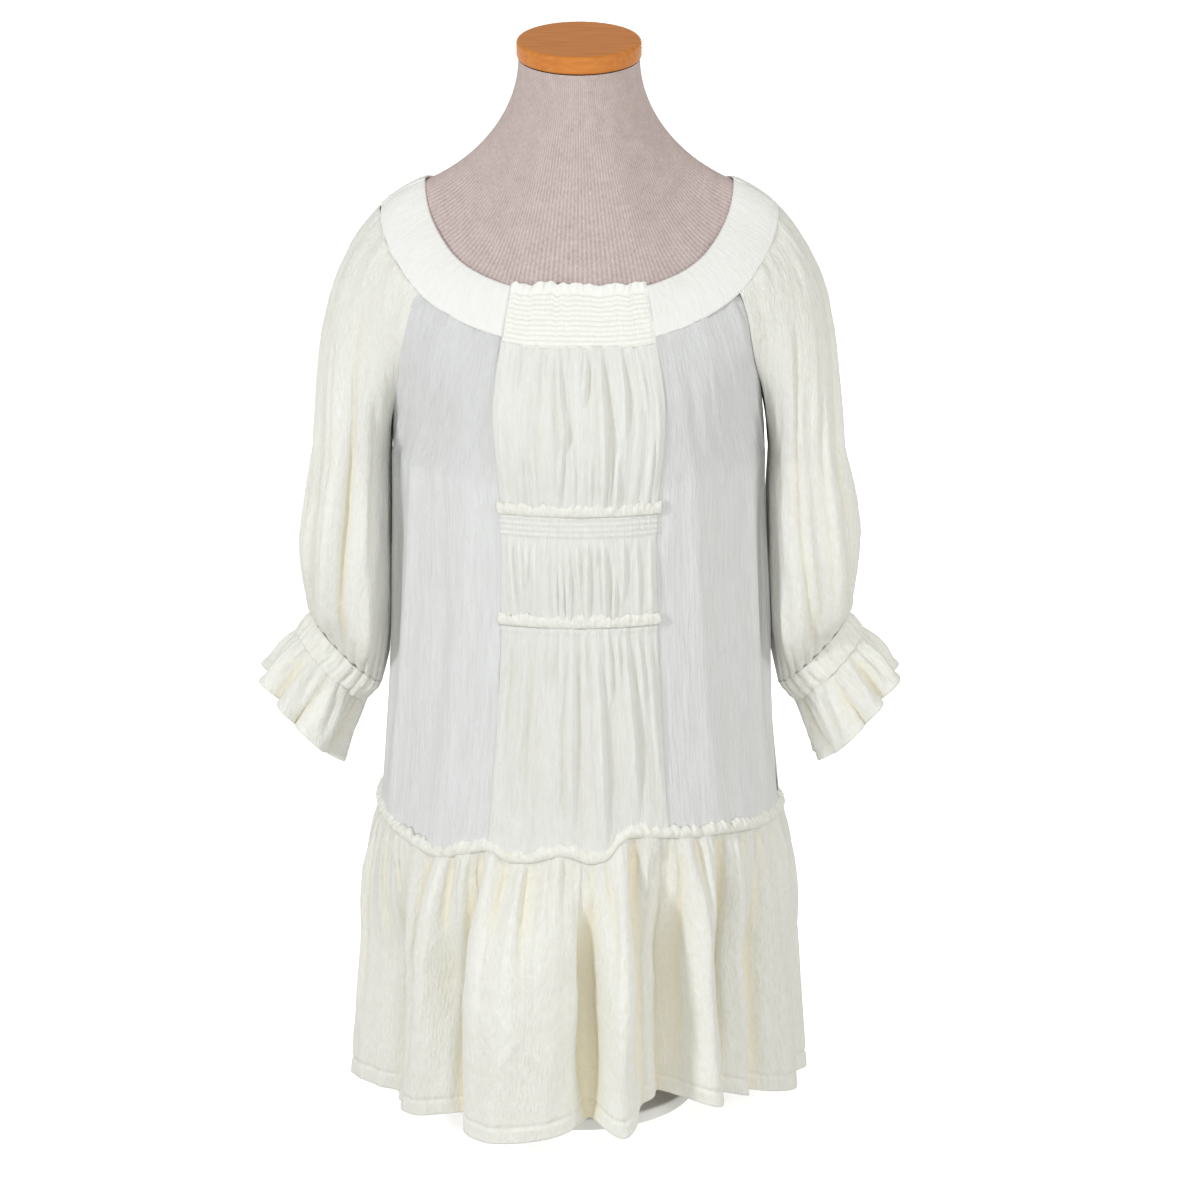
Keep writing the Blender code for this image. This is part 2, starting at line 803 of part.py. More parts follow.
def add_form():
    across, neck_rows, chest_rows = 32, 6, 7
    points = []
    for r in range(neck_rows):
        t = r / neck_rows
        for c in range(across):
            angle = 360 * c / across
            turn = math.radians(angle)
            flat = np.array([math.sin(turn), -math.cos(turn)]) * NECK_TOP_RADIUS
            start = np.array([*flat, NECK_TOP_Z + flat[1] * math.tan(CAP_TILT)])
            end = form_point(angle, 0)
            way = end - form_point(angle, 0.004)
            way = way / np.linalg.norm(way)
            corners = (start, start - np.array([0, 0, 0.045]), end + way * 0.050, end)
            weights = ((1 - t) ** 3, 3 * t * (1 - t) ** 2, 3 * t * t * (1 - t), t**3)
            points.append(sum(w * p for w, p in zip(weights, corners)))
    for r in range(chest_rows):
        for c in range(across):
            angle = 360 * c / across
            points.append(form_point(angle, reach(angle) * r / chest_rows))
    heights = [row[0] for row in FORM_RINGS][::-1]
    for z in heights:
        for c in range(across):
            points.append(np.array([*oval(360 * c / across, form_ring(z)), z]))
    rows = len(points) // across
    faces = [tuple(range(across)), tuple(range((rows - 1) * across, rows * across))]
    for r in range(rows - 1):
        for c in range(across):
            near, far, after = r * across, (r + 1) * across, (c + 1) % across
            faces.append((near + c, far + c, far + after, near + after))
    add_object("form_torso", points, faces, "form_knit")


def add_disc(name, radius, height, middle, material, bevel, sides, rounds=2, tilt=0.0):
    bpy.ops.mesh.primitive_cylinder_add(
        vertices=sides, radius=radius, depth=height, location=middle, rotation=(tilt, 0, 0)
    )
    disc = bpy.context.object
    disc.name = name
    disc.data.name = name
    if bevel:
        rounding = disc.modifiers.new("rounding", "BEVEL")
        rounding.width = bevel
        rounding.segments = rounds
        rounding.limit_method = "ANGLE"
    for polygon in disc.data.polygons:
        polygon.use_smooth = True
    for holder in list(disc.users_collection):
        holder.objects.unlink(disc)
    collection.objects.link(disc)
    paint(disc, material)


def add_stand():
    lift = CAP_THICKNESS / 2 + REST_GAP
    middle = (0, -lift * math.sin(CAP_TILT), NECK_TOP_Z + lift * math.cos(CAP_TILT))
    add_disc("form_neck_cap", CAP_RADIUS, CAP_THICKNESS, middle, "cap_wood", 0.003, 48, tilt=CAP_TILT)
    low = (0, 0, BASE_THICKNESS / 2)
    add_disc("stand_base", BASE_RADIUS, BASE_THICKNESS, low, "stand_metal", 0.002, 40, 1)
    start = BASE_THICKNESS + REST_GAP
    end = FORM_BOTTOM_Z - REST_GAP
    add_disc("stand_post", POST_RADIUS, end - start, (0, 0, (start + end) / 2), "stand_metal", 0, 24)


for old in list(bpy.data.objects):
    bpy.data.objects.remove(old, do_unlink=True)
collection = bpy.data.collections.new("smocked_mini_dress")
bpy.context.scene.collection.children.link(collection)

add_neckbands()
add_neck_smocking()
add_centre_panels()
add_side_fronts()
add_back()
add_tier()
add_tier_headers()
for side, word in ((1, "left"), (-1, "right")):
    add_sleeve(side, f"sleeve_{word}")
    add_cuff(side, word)
add_form()
add_stand()
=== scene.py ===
"""Looks of the smocked mini dress on its dress form: cloth shells, form cover, cap, stand, light and camera.

Metres, Z up. The dress faces -Y and the wearer's left is +X.
An angle is in degrees round the body: 0 is the front, 90 the wearer's left, 180 the back.
Shares c and r run from 0 to 1 across and down a piece.
"""

import math
from functools import partial

import bpy
import numpy as np
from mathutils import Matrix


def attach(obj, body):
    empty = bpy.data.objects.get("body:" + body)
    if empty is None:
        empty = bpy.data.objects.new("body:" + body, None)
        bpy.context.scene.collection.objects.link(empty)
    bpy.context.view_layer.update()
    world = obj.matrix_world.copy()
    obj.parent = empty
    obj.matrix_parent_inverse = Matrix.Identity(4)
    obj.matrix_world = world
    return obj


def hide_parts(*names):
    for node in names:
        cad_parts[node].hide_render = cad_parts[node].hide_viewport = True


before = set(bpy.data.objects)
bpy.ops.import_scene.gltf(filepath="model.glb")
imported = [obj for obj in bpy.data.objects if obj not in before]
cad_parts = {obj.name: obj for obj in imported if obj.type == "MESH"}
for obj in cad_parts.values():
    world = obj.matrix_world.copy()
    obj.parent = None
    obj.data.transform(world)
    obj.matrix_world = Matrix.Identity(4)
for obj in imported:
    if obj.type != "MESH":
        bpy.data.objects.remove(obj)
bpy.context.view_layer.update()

# Cloth
CLOTH = 0.0013
BAND_CLOTH = 0.0018
FRILL_CLOTH = 0.0008

# Heights of the main lines
UNDERARM_Z = 0.6
HEADER_UPPER_Z = 0.576
HEADER_LOWER_Z = 0.4805
HEADER_HEIGHT = 0.0105

# Painted warm shade in hollows: spread looked over, depth that counts as full, share
HOLLOW_SHADE_SPREADS = (
    (0.007, 0.0018, 0.38),
    (0.028, 0.009, 0.6),
)

# Seams: how far one piece laps over the next, and how far that edge is sunk or raised
LAP = 0.0012
LAP_DEGREES = 0.4
BAND_LAP_DEGREES = 0.3 * LAP_DEGREES
LAP_RISE = 0.0003

# Centre seams: the angle beside which heights along them are read, and their top
SEAM_ANGLE = 24.0
NECK_SEAM_Z = 0.76

# Sizes measured down from the neck edge
NECKBAND_WIDTH = 0.044
SMOCKING_LENGTH = 0.048
SMOCKING_FRILL = 0.0075
SMOCKING_ROW = 0.0044

# Depth of a dip between rows of stitching that gets the full painted shade
ROW_DIP = 0.0008

# Rows of shirring, measured down the middle panel, and the panel's length from seam to seam
SHIRRING_ROWS = (0.0022, 0.0067, 0.0112, 0.0157)
SHIRRING_LENGTH = 0.018
MID_LENGTH = 0.0951

# Rounded cut sizes that the puckers are scaled by: width, length
UPPER_CUT = (0.135, 0.14)
MID_CUT = (0.13, 0.095)
LOWER_CUT = (0.14, 0.2)
SIDE_FRONT_CUT = (0.15, 0.46)
BACK_CUT = (0.45, 0.5)
TIER_CUT = (0.7, 0.25)
SLEEVE_CUT = (0.34, 0.42)
RUFFLE_CUT = (0.32, 0.053)

# Share of each piece's height that lies above the underarm
SIDE_FRONT_UPPER = 4 / 9
BACK_UPPER = 0.4
SLEEVE_UPPER = 0.45

# Neck edge: angle, x, y, z
NECK_EDGE = (
    (-24, -0.056, -0.09, 0.76), (0, 0, -0.095, 0.757), (24, 0.056, -0.09, 0.76),
    (45, 0.098, -0.064, 0.775), (68, 0.1235, -0.03, 0.804), (90, 0.131, 0.002, 0.832),
    (112, 0.121, 0.034, 0.829), (135, 0.094, 0.058, 0.821), (158, 0.05, 0.074, 0.814),
    (180, 0, 0.08, 0.811), (202, -0.05, 0.074, 0.814),
)

# Way the cloth leaves the neck edge: angle, x, y, z, reach from the neck, reach above the underarm
NECK_LEAVING = (
    (-24, -0.2, -0.5, -0.84, 0.062, 0.072), (0, 0, -0.5, -0.87, 0.06, 0.07),
    (24, 0.2, -0.5, -0.84, 0.062, 0.072), (45, 0.72, -0.36, -0.6, 0.08, 0.09),
    (68, 0.9, -0.14, -0.42, 0.11, 0.11), (90, 0.92, 0, -0.39, 0.12, 0.12),
    (112, 0.88, 0.18, -0.45, 0.11, 0.115), (135, 0.66, 0.42, -0.62, 0.08, 0.1),
    (158, 0.34, 0.46, -0.82, 0.065, 0.09), (180, 0, 0.44, -0.9, 0.06, 0.085),
    (202, -0.34, 0.46, -0.82, 0.065, 0.09),
)

# Dress body rings: height, half width, depth in front, depth behind
BODY_RINGS = (
    (0.24, 0.18, 0.163, 0.134), (0.28, 0.1765, 0.16, 0.131), (0.374, 0.168, 0.153, 0.124),
    (0.48, 0.1625, 0.149, 0.119), (0.556, 0.16, 0.147, 0.117), (0.6, 0.16, 0.145, 0.116),
)

# Seam between the centre panels and the side fronts: height, angle
CENTRE_SEAM = (
    (0.27, 26.2), (0.38, 24.6), (0.48, 23.7), (0.576, 24), (0.66, 26),
    (0.715, 24.2), (0.76, 24.2),
)

# Seam between body and tier: angle, height
TIER_SEAM = (
    (-100, 0.279), (-80, 0.275), (-67, 0.272), (-55, 0.268), (-43, 0.265),
    (-34, 0.273), (-26, 0.28), (-19, 0.273), (-13, 0.275), (-4, 0.281),
    (4, 0.275), (8, 0.279), (12, 0.293), (20, 0.294), (33, 0.289),
    (45, 0.285), (58, 0.279), (75, 0.274), (90, 0.272), (135, 0.276),
    (180, 0.278), (225, 0.277), (260, 0.279), (280, 0.275),
)

# Hem: angle, height
HEM = (
    (-100, 0.021), (-60, 0.028), (-45, 0.034), (-22, 0.04), (0, 0.042),
    (10, 0.045), (20, 0.054), (28, 0.053), (38, 0.048), (60, 0.03),
    (90, 0.018), (135, 0.024), (180, 0.028), (225, 0.026), (260, 0.021),
    (300, 0.028),
)

# Hem cone: half width, depth in front, depth behind
HEM_SIZES = np.array([0.2, 0.185, 0.165])

# Tier folds at the hem: angle, distance out from the plain cone
TIER_FOLDS = (
    (-100, 0), (-90, 0.004), (-80, 0.009), (-70, -0.004), (-61, -0.016),
    (-54, -0.002), (-48, 0.011), (-41, 0.012), (-35, -0.004), (-31, -0.008),
    (-26, 0.026), (-20, 0.042), (-12, 0.037), (-5, 0.02), (0, -0.004),
    (3, -0.016), (6, 0.014), (9.5, 0.034), (13, 0.014), (16, -0.012),
    (20, -0.02), (24.5, -0.036), (29, -0.014), (34, 0.013), (38, 0.004),
    (43, -0.026), (47, -0.018), (51, -0.008), (56, -0.022), (63, -0.002),
    (71, 0.006), (80, -0.006), (90, 0.006), (99, -0.008), (109, 0.015),
    (120, -0.016), (131, 0.019), (141, -0.014), (151, 0.013), (159, -0.017),
    (169, 0.021), (180, -0.01), (190, 0.016), (200, -0.016), (210, 0.014),
    (221, -0.018), (232, 0.017), (243, -0.012), (254, 0.014), (264, -0.006),
    (270, 0.004), (280, 0.009),
)

# Sleeve rings below the underarm: step, x, z, half width, half depth, tilt in degrees
SLEEVE_RINGS = (
    (0, 0.195, 0.601, 0.0335, 0.07, 0),
    (1, 0.1992, 0.55, 0.0378, 0.073, 4),
    (2, 0.2042, 0.5, 0.0418, 0.072, 11),
    (3, 0.2068, 0.455, 0.0452, 0.062, 27),
    (4, 0.205, 0.418, 0.043, 0.033, 46),
)

# Sleeve folds: share round, distance out
SLEEVE_FOLDS = (
    (0, 0), (0.1, 0.001), (0.18, 0.006), (0.25, -0.004), (0.32, 0.006),
    (0.4, -0.004), (0.48, 0.005), (0.57, -0.003), (0.66, 0.006), (0.76, -0.004),
    (0.86, 0.005), (0.93, 0), (1, 0),
)

# Raglan seams: angles at the neck, how sharply they bend, and degrees that the body reaches under the sleeve
RAGLAN_FRONT_TOP = 50
RAGLAN_BACK_TOP = 132
RAGLAN_BEND = 2.2
RAGLAN_LAP = 1.8

# Cuff rings: share, x, z, half width, half depth, tilt in degrees
CASING_RINGS = (
    (0, 0.2051, 0.4179, 0.043, 0.033, 46),
    (1.0, 0.2196, 0.4011, 0.043, 0.033, 47),
)
RUFFLE_RINGS = (
    (0, 0.2197, 0.401, 0.043, 0.033, 47),
    (0.5, 0.234, 0.379, 0.0465, 0.04, 48),
    (1.0, 0.2465, 0.3555, 0.0495, 0.045, 50),
)

# Form below the underarm: height, half width, depth in front, depth behind
FORM_RINGS = (
    (0.245, 0.156, 0.104, 0.107), (0.265, 0.159, 0.108, 0.11), (0.32, 0.157, 0.108, 0.11),
    (0.38, 0.146, 0.102, 0.102), (0.44, 0.13, 0.094, 0.088), (0.485, 0.124, 0.091, 0.08),
    (0.53, 0.13, 0.103, 0.086), (0.57, 0.14, 0.122, 0.096), (0.6, 0.146, 0.13, 0.102),
)
FORM_BOTTOM_Z = 0.245
FORM_INSET_FRONT = 0.0042
FORM_INSET_SHOULDER = 0.0006
FORM_INSET_UNDERARM = 0.013
NECK_TOP_RADIUS = 0.0512
NECK_TOP_Z = 0.9365
CAP_RADIUS = 0.0527
CAP_THICKNESS = 0.0155
CAP_TILT = math.radians(8.8)
BASE_RADIUS = 0.105
BASE_THICKNESS = 0.012
POST_RADIUS = 0.0125

# Lights: name, place, size, watts, colour
LIGHTS = (
    ("left_key", (-2.0, -2.1, 1.6), 0.4, 35, (0.93, 0.965, 1.0)),
    ("front_soft", (0.7, -2.9, 1.5), 0.8, 12, (0.93, 0.965, 1.0)),
    ("right_soft", (2.3, -1.7, 1.3), 0.7, 15, (0.96, 0.98, 1.0)),
    ("back_soft", (0.3, 2.7, 0.9), 1.0, 24, (0.96, 0.98, 1.0)),
)
LIGHT_AIM = (0, 0, 0.45)
SKY_COLOUR = (1.0, 0.985, 0.915)
SKY_STRENGTH = 0.59
FLOOR_SIZE = 600
FLOOR_GLOW = 0.72

# Camera
CAMERA_PLACE = (0.0175, -3.1, 1.4)
CAMERA_AIM_Z = 0.46
CAMERA_LENS = 110.8
CAMERA_SENSOR = 36

# Creases: share across, share down from, to, depth, width in shares, lean across per share down
SIDE_FRONT_CREASES = (
    (0.2, 0.3, 1, 0.0022, 0.05, 0.1), (0.42, 0.1, 0.75, -0.0018, 0.06, -0.1),
    (0.62, 0.35, 1, 0.003, 0.045, 0.06), (0.78, 0.45, 1, -0.0026, 0.05, 0.05),
    (0.9, 0.25, 0.95, 0.0024, 0.04, -0.08), (0.34, 0.6, 1, -0.0016, 0.04, 0.12),
)
BACK_CREASES = (
    (0.12, 0.35, 1, 0.0034, 0.03, 0.05), (0.22, 0.3, 0.95, -0.003, 0.035, 0.02),
    (0.33, 0.25, 1, 0.0036, 0.028, 0.04), (0.44, 0.4, 1, -0.0024, 0.03, -0.02),
    (0.57, 0.3, 1, 0.0038, 0.03, 0.03), (0.68, 0.35, 0.9, -0.0028, 0.034, -0.03),
    (0.79, 0.28, 1, 0.0032, 0.028, -0.05), (0.9, 0.4, 1, -0.0022, 0.03, -0.02),
)
CENTRE_UPPER_RIDGES = (
    (0.05, 0, 1, 0.0016, 0.018, 0), (0.13, 0, 0.34, 0.002, 0.012, 0.02),
    (0.17, 0.62, 1, 0.0022, 0.01, -0.02), (0.21, 0.55, 1, 0.002, 0.01, 0.01),
    (0.25, 0, 0.98, 0.0024, 0.014, 0.01), (0.29, 0, 0.3, 0.002, 0.01, 0.02),
    (0.37, 0, 0.62, 0.0044, 0.014, 0.09), (0.43, 0.38, 1, 0.0036, 0.013, -0.1),
    (0.47, 0.55, 1, 0.0018, 0.01, 0), (0.55, 0.04, 0.36, 0.0034, 0.013, -0.08),
    (0.57, 0.6, 1, 0.0022, 0.01, -0.01), (0.63, 0, 1, 0.0044, 0.014, 0.02),
    (0.67, 0.55, 1, 0.0016, 0.01, 0.02), (0.72, 0.62, 1, 0.0026, 0.011, 0),
    (0.77, 0, 0.55, 0.0024, 0.013, -0.03), (0.87, 0, 0.42, 0.002, 0.013, 0.05),
    (0.92, 0.5, 1, 0.0016, 0.012, -0.01), (0.955, 0, 1, 0.0014, 0.014, 0),
)
CENTRE_MID_RIDGES = (
    (0.06, 0.13, 1, 0.0022, 0.014, 0.05), (0.12, 0.13, 1, 0.0026, 0.012, 0.05),
    (0.18, 0.13, 0.6, 0.0018, 0.01, -0.02), (0.22, 0.15, 1, 0.0024, 0.011, 0.03),
    (0.29, 0.13, 0.5, 0.0018, 0.01, 0.02), (0.35, 0.13, 1, 0.0022, 0.01, 0.01),
    (0.39, 0.4, 1, 0.0024, 0.009, 0.02), (0.43, 0.2, 1, 0.003, 0.01, 0.02),
    (0.49, 0.13, 0.6, 0.002, 0.01, 0.02), (0.55, 0.13, 1, 0.0034, 0.011, 0),
    (0.61, 0.13, 0.45, 0.0022, 0.01, -0.02), (0.65, 0.13, 1, 0.0034, 0.011, 0.02),
    (0.72, 0.45, 1, 0.002, 0.01, -0.01), (0.78, 0.13, 0.8, 0.0024, 0.012, -0.02),
    (0.86, 0.13, 1, 0.002, 0.012, 0.01), (0.95, 0.13, 1, 0.0022, 0.014, 0),
)
CENTRE_LOWER_RIDGES = (
    (0.07, 0, 0.6, 0.0026, 0.018, -0.06), (0.15, 0, 0.3, 0.0022, 0.012, -0.04),
    (0.19, 0, 0.8, 0.0028, 0.016, -0.06), (0.27, 0.02, 1, 0.003, 0.022, -0.04),
    (0.34, 0, 0.26, 0.0024, 0.012, -0.02), (0.4, 0, 0.38, 0.0026, 0.014, -0.01),
    (0.46, 0, 0.92, 0.0038, 0.018, 0), (0.53, 0, 0.3, 0.0024, 0.012, 0.02),
    (0.6, 0, 1, 0.004, 0.02, 0.04), (0.67, 0, 0.34, 0.0024, 0.012, 0.05),
    (0.73, 0, 0.28, 0.0022, 0.012, 0.04), (0.78, 0, 0.9, 0.0034, 0.018, 0.05),
    (0.86, 0, 0.4, 0.0024, 0.014, 0.06), (0.93, 0, 0.8, 0.0022, 0.018, 0.04),
)
SLEEVE_CREASES = (
    (0.12, 0.3, 0.86, -0.005, 0.018, 0.1), (0.17, 0.5, 1, 0.0036, 0.014, -0.04),
    (0.22, 0.16, 0.96, -0.0056, 0.014, 0.02), (0.28, 0.45, 1, 0.0034, 0.012, 0.04),
    (0.33, 0.22, 0.9, -0.005, 0.014, -0.04), (0.4, 0.48, 1, 0.0038, 0.013, 0.05),
    (0.46, 0.15, 0.95, -0.005, 0.015, -0.03), (0.53, 0.4, 1, 0.0036, 0.014, 0.04),
    (0.6, 0.2, 0.88, -0.005, 0.015, -0.05), (0.68, 0.45, 1, 0.0036, 0.013, 0.04),
    (0.75, 0.18, 0.94, -0.005, 0.015, 0.03), (0.84, 0.35, 0.9, -0.0046, 0.016, -0.04),
)
TIER_CREASES = (
    (0.06, 0, 0.8, -0.005, 0.008, 0.01), (0.112, 0.02, 0.6, -0.0034, 0.006, 0.02),
    (0.163, 0, 1, -0.007, 0.009, -0.01), (0.203, 0, 0.45, -0.0034, 0.006, 0.01),
    (0.243, 0, 0.88, -0.0085, 0.009, -0.01), (0.287, 0, 0.35, -0.0036, 0.006, 0.01),
    (0.345, 0, 1, -0.01, 0.011, -0.03), (0.388, 0, 0.3, -0.0034, 0.006, -0.02),
    (0.405, 0.55, 0.78, 0.0018, 0.007, 0.22), (0.422, 0, 0.42, -0.0034, 0.007, 0.01),
    (0.43, 0.62, 0.86, 0.0014, 0.006, -0.2), (0.456, 0, 0.3, -0.0034, 0.006, 0.02),
    (0.501, 0, 1, -0.009, 0.01, 0.01), (0.541, 0.02, 0.55, -0.0034, 0.006, 0.01),
    (0.583, 0, 0.92, -0.0075, 0.009, 0), (0.618, 0.1, 0.7, -0.0034, 0.007, -0.01),
    (0.655, 0, 1, -0.007, 0.01, 0), (0.694, 0, 0.5, -0.0036, 0.006, 0.01),
    (0.738, 0, 0.95, -0.008, 0.009, 0.01), (0.782, 0.05, 0.7, -0.0036, 0.007, 0.01),
    (0.826, 0, 1, -0.006, 0.009, 0), (0.87, 0, 0.55, -0.004, 0.007, 0.01),
    (0.928, 0, 0.95, -0.006, 0.009, 0),
)


# Curves and noise
def through(rows):
    """A smooth curve through a table whose first column says where; takes arrays."""
    table = np.array(rows, float)
    where, values = table[:, 0], table[:, 1:]
    slopes = np.gradient(values, where, axis=0)

    def value(at):
        at = np.clip(np.asarray(at, float), where[0], where[-1])
        k = np.clip(np.searchsorted(where, at, side="right") - 1, 0, len(where) - 2)
        step = (where[k + 1] - where[k])[..., None]
        t = (at - where[k])[..., None] / step
        start = (1 + 2 * t) * (1 - t) ** 2 * values[k] + t * (1 - t) ** 2 * step * slopes[k]
        end = t * t * (3 - 2 * t) * values[k + 1] - t * t * (1 - t) * step * slopes[k + 1]
        found = start + end
        return found[..., 0] if values.shape[1] == 1 else found

    return value


def gentle(t):
    """Eases from 0 to 1."""
    t = np.clip(t, 0, 1)
    return t * t * (3 - 2 * t)


def unit(ways):
    return ways / np.linalg.norm(ways, axis=-1, keepdims=True)


def lerp(a, b, t):
    return a + (b - a) * t


def bell(distance, width):
    """1 at no distance, falling away on both sides."""
    return np.exp(-((distance / width) ** 2))


def hump(share):
    """Rises from 0 to 1 and falls back over a whole share."""
    return np.sin(np.pi * share)


def from_sides(c, steepness):
    """0 at both side edges and 1 further in."""
    return np.clip(np.minimum(c, 1 - c) * steepness, 0, 1)


def bezier(corners, t):
    t = np.asarray(t)[..., None]
    weights = ((1 - t) ** 3, 3 * t * (1 - t) ** 2, 3 * t * t * (1 - t), t**3)
    return sum(w * p for w, p in zip(weights, corners))


def noise(x, y, seed):
    """Smooth noise from -1 to 1 with one bump a unit each way."""
    x, y = np.asarray(x, float), np.asarray(y, float)
    i, j = np.floor(x), np.floor(y)
    fx, fy = gentle(x - i), gentle(y - j)

    def corner(a, b):
        scattered = np.sin((i + a) * 127.1 + (j + b) * 311.7 + seed * 74.7) * 43758.5453
        return (scattered - np.floor(scattered)) * 2 - 1

    top = lerp(corner(0, 0), corner(1, 0), fx)
    low = lerp(corner(0, 1), corner(1, 1), fx)
    return lerp(top, low, fy)


def waves(share, count, unevenness=0.35):
    """Gathers across a width, a little uneven in spacing, that end level at both edges."""
    moved = share + unevenness / count * np.sin(2 * np.pi * share * 2.3) / 2
    fade = np.clip(np.minimum(share, 1 - share) * count * 0.9, 0, 1)
    return np.sin(2 * np.pi * count * moved) * fade


def creases(rows, strength=1.0):
    """Soft troughs and ridges that run down a piece."""

    def depth(c, r):
        total = 0
        for across, start, end, deep, wide, lean in rows:
            along = np.clip((r - start) / (end - start), 0, 1)
            line = across + lean * (r - start)
            total = total + deep * hump(along) ** 0.7 * bell(c - line, wide)
        return total * strength

    return depth


def crinkle(c, r, cut, seed, strength):
    """The crepe's own fine lengthwise puckers."""
    x, y = c * cut[0], r * cut[1]
    fine = noise(x / 0.0045, y / 0.045, seed) * 0.00022
    broad = noise(x / 0.013, y / 0.11, seed + 3) * 0.0007
    soft = noise(x / 0.035, y / 0.16, seed + 7) * 0.001
    return strength * (fine + broad + soft)


neck_edge = through(NECK_EDGE)
neck_leaving = through(NECK_LEAVING)
body_ring = through(BODY_RINGS)
centre_seam = through(CENTRE_SEAM)
tier_seam = through(TIER_SEAM)
hem = through(HEM)
tier_folds = through(TIER_FOLDS)
sleeve_rings = through(SLEEVE_RINGS)
sleeve_folds = through(SLEEVE_FOLDS)
casing_rings = through(CASING_RINGS)
ruffle_rings = through(RUFFLE_RINGS)
form_ring = through(FORM_RINGS)


# The dress's surface, from the neck edge down
def oval(angle, sizes):
    """Points of rings whose front and back halves have their own depths."""
    turn = np.radians(angle)
    depth = np.where(np.cos(turn) > 0, sizes[..., 1], sizes[..., 2])
    return sizes[..., 0] * np.sin(turn), -depth * np.cos(turn)


def meridian_corners(angle):
    angle = np.asarray(angle, float)
    start, leaving = neck_edge(angle), neck_leaving(angle)
    way = unit(leaving[..., :3])
    x, y = oval(angle, body_ring(UNDERARM_Z))
    end = np.stack([x, y, np.full_like(x, UNDERARM_Z)], -1)
    lift = np.zeros_like(end)
    lift[..., 2] = leaving[..., 4]
    return (start, start + way * leaving[..., 3:4], end + lift, end), way


# The lines down from the neck edge are tabled at whole angles and even steps
LAST_ANGLE = 180
EVEN_STEPS = 200
STEPS = np.linspace(0, 1, 121)
WHOLE_ANGLES = np.arange(0, LAST_ANGLE + 1)
corners, _ = meridian_corners(WHOLE_ANGLES)
lines = bezier([p[:, None, :] for p in corners], np.broadcast_to(STEPS, (len(WHOLE_ANGLES), len(STEPS))))
spans = np.linalg.norm(np.diff(lines, axis=1), axis=-1)
LENGTHS = np.concatenate([np.zeros((len(WHOLE_ANGLES), 1)), np.cumsum(spans, axis=1)], axis=1)
REACH = LENGTHS[:, -1]
EVEN = np.linspace(0, 1, EVEN_STEPS + 1)
STEP_AT = np.array([np.interp(EVEN, row / row[-1], STEPS) for row in LENGTHS])


def folded(angle):
    """The same angle from -180 to 180, as its size and its side."""
    turn = (np.asarray(angle, float) + 180) % 360 - 180
    return np.abs(turn), np.where(turn < 0, -1.0, 1.0)


def reach(angle):
    """Length from the neck edge to the underarm level."""
    size, _ = folded(angle)
    return np.interp(size, WHOLE_ANGLES, REACH)


def body(angle, down):
    """The points of the dress's outside that lie this far down from the neck edge."""
    angle, down = np.broadcast_arrays(np.asarray(angle, float), np.asarray(down, float))
    size, side = folded(angle)
    full = reach(angle)
    share = np.clip(down / full, 0, 1)
    i = np.clip(size.astype(int), 0, LAST_ANGLE - 1)
    j = np.clip((share * EVEN_STEPS).astype(int), 0, EVEN_STEPS - 1)
    fi, fj = size - i, share * EVEN_STEPS - j
    near = lerp(STEP_AT[i, j], STEP_AT[i, j + 1], fj)
    far = lerp(STEP_AT[i + 1, j], STEP_AT[i + 1, j + 1], fj)
    corners, way = meridian_corners(size)
    points = bezier(corners, lerp(near, far, fi))
    points = points + way * np.minimum(down, 0)[..., None]
    z = UNDERARM_Z - (down - full)
    x, y = oval(size, body_ring(z))
    ring = np.stack([x, y, z], -1)
    points = np.where((down > full)[..., None], ring, points)
    points[..., 0] *= side
    return points


def down_to(angle, z):
    return reach(angle) + UNDERARM_Z - z


def seam_angle(down):
    return centre_seam(body(SEAM_ANGLE, down)[..., 2])


def raglan(top, share):
    """Angle of a raglan seam that starts at this angle and ends under the arm."""
    return top + (90 - top) * share**RAGLAN_BEND


def levels(r, upper_share):
    """Shares down the part above the underarm and down the part below it."""
    return np.clip(r / upper_share, 0, 1), np.clip((r - upper_share) / (1 - upper_share), 0, 1)


def raglan_lap(share):
    """Degrees that the body's cloth reaches under the sleeve."""
    return RAGLAN_LAP * 4 * share * (1 - share)


# Materials
def new_material(name, colour, roughness, specular=0.5):
    made = bpy.data.materials.new(name)
    made.use_nodes = True
    shader = made.node_tree.nodes["Principled BSDF"]
    shader.inputs["Base Color"].default_value = (*colour, 1)
    shader.inputs["Roughness"].default_value = roughness
    shader.inputs["Specular IOR Level"].default_value = specular
    return made, made.node_tree, shader


def stretched_noise(tree, source, scale, size, detail):
    """Noise over the cut's own metres, stretched along the grain."""
    mapping = tree.nodes.new("ShaderNodeMapping")
    mapping.inputs["Scale"].default_value = scale
    tree.links.new(source, mapping.inputs["Vector"])
    grain = tree.nodes.new("ShaderNodeTexNoise")
    grain.inputs["Scale"].default_value = size
    grain.inputs["Detail"].default_value = detail
    tree.links.new(mapping.outputs["Vector"], grain.inputs["Vector"])
    return grain.outputs["Fac"]


def summed(tree, value, factor, added):
    """A value times a factor, with another value added."""
    node = tree.nodes.new("ShaderNodeMath")
    node.operation = "MULTIPLY_ADD"
    node.inputs[1].default_value = factor
    tree.links.new(value, node.inputs[0])
    tree.links.new(added, node.inputs[2])
    return node.outputs[0]


def ranged(tree, value, low, high):
    """0 to 1 as a value goes from low to high."""
    node = tree.nodes.new("ShaderNodeMapRange")
    node.inputs["From Min"].default_value = low
    node.inputs["From Max"].default_value = high
    tree.links.new(value, node.inputs["Value"])
    return node.outputs["Result"]


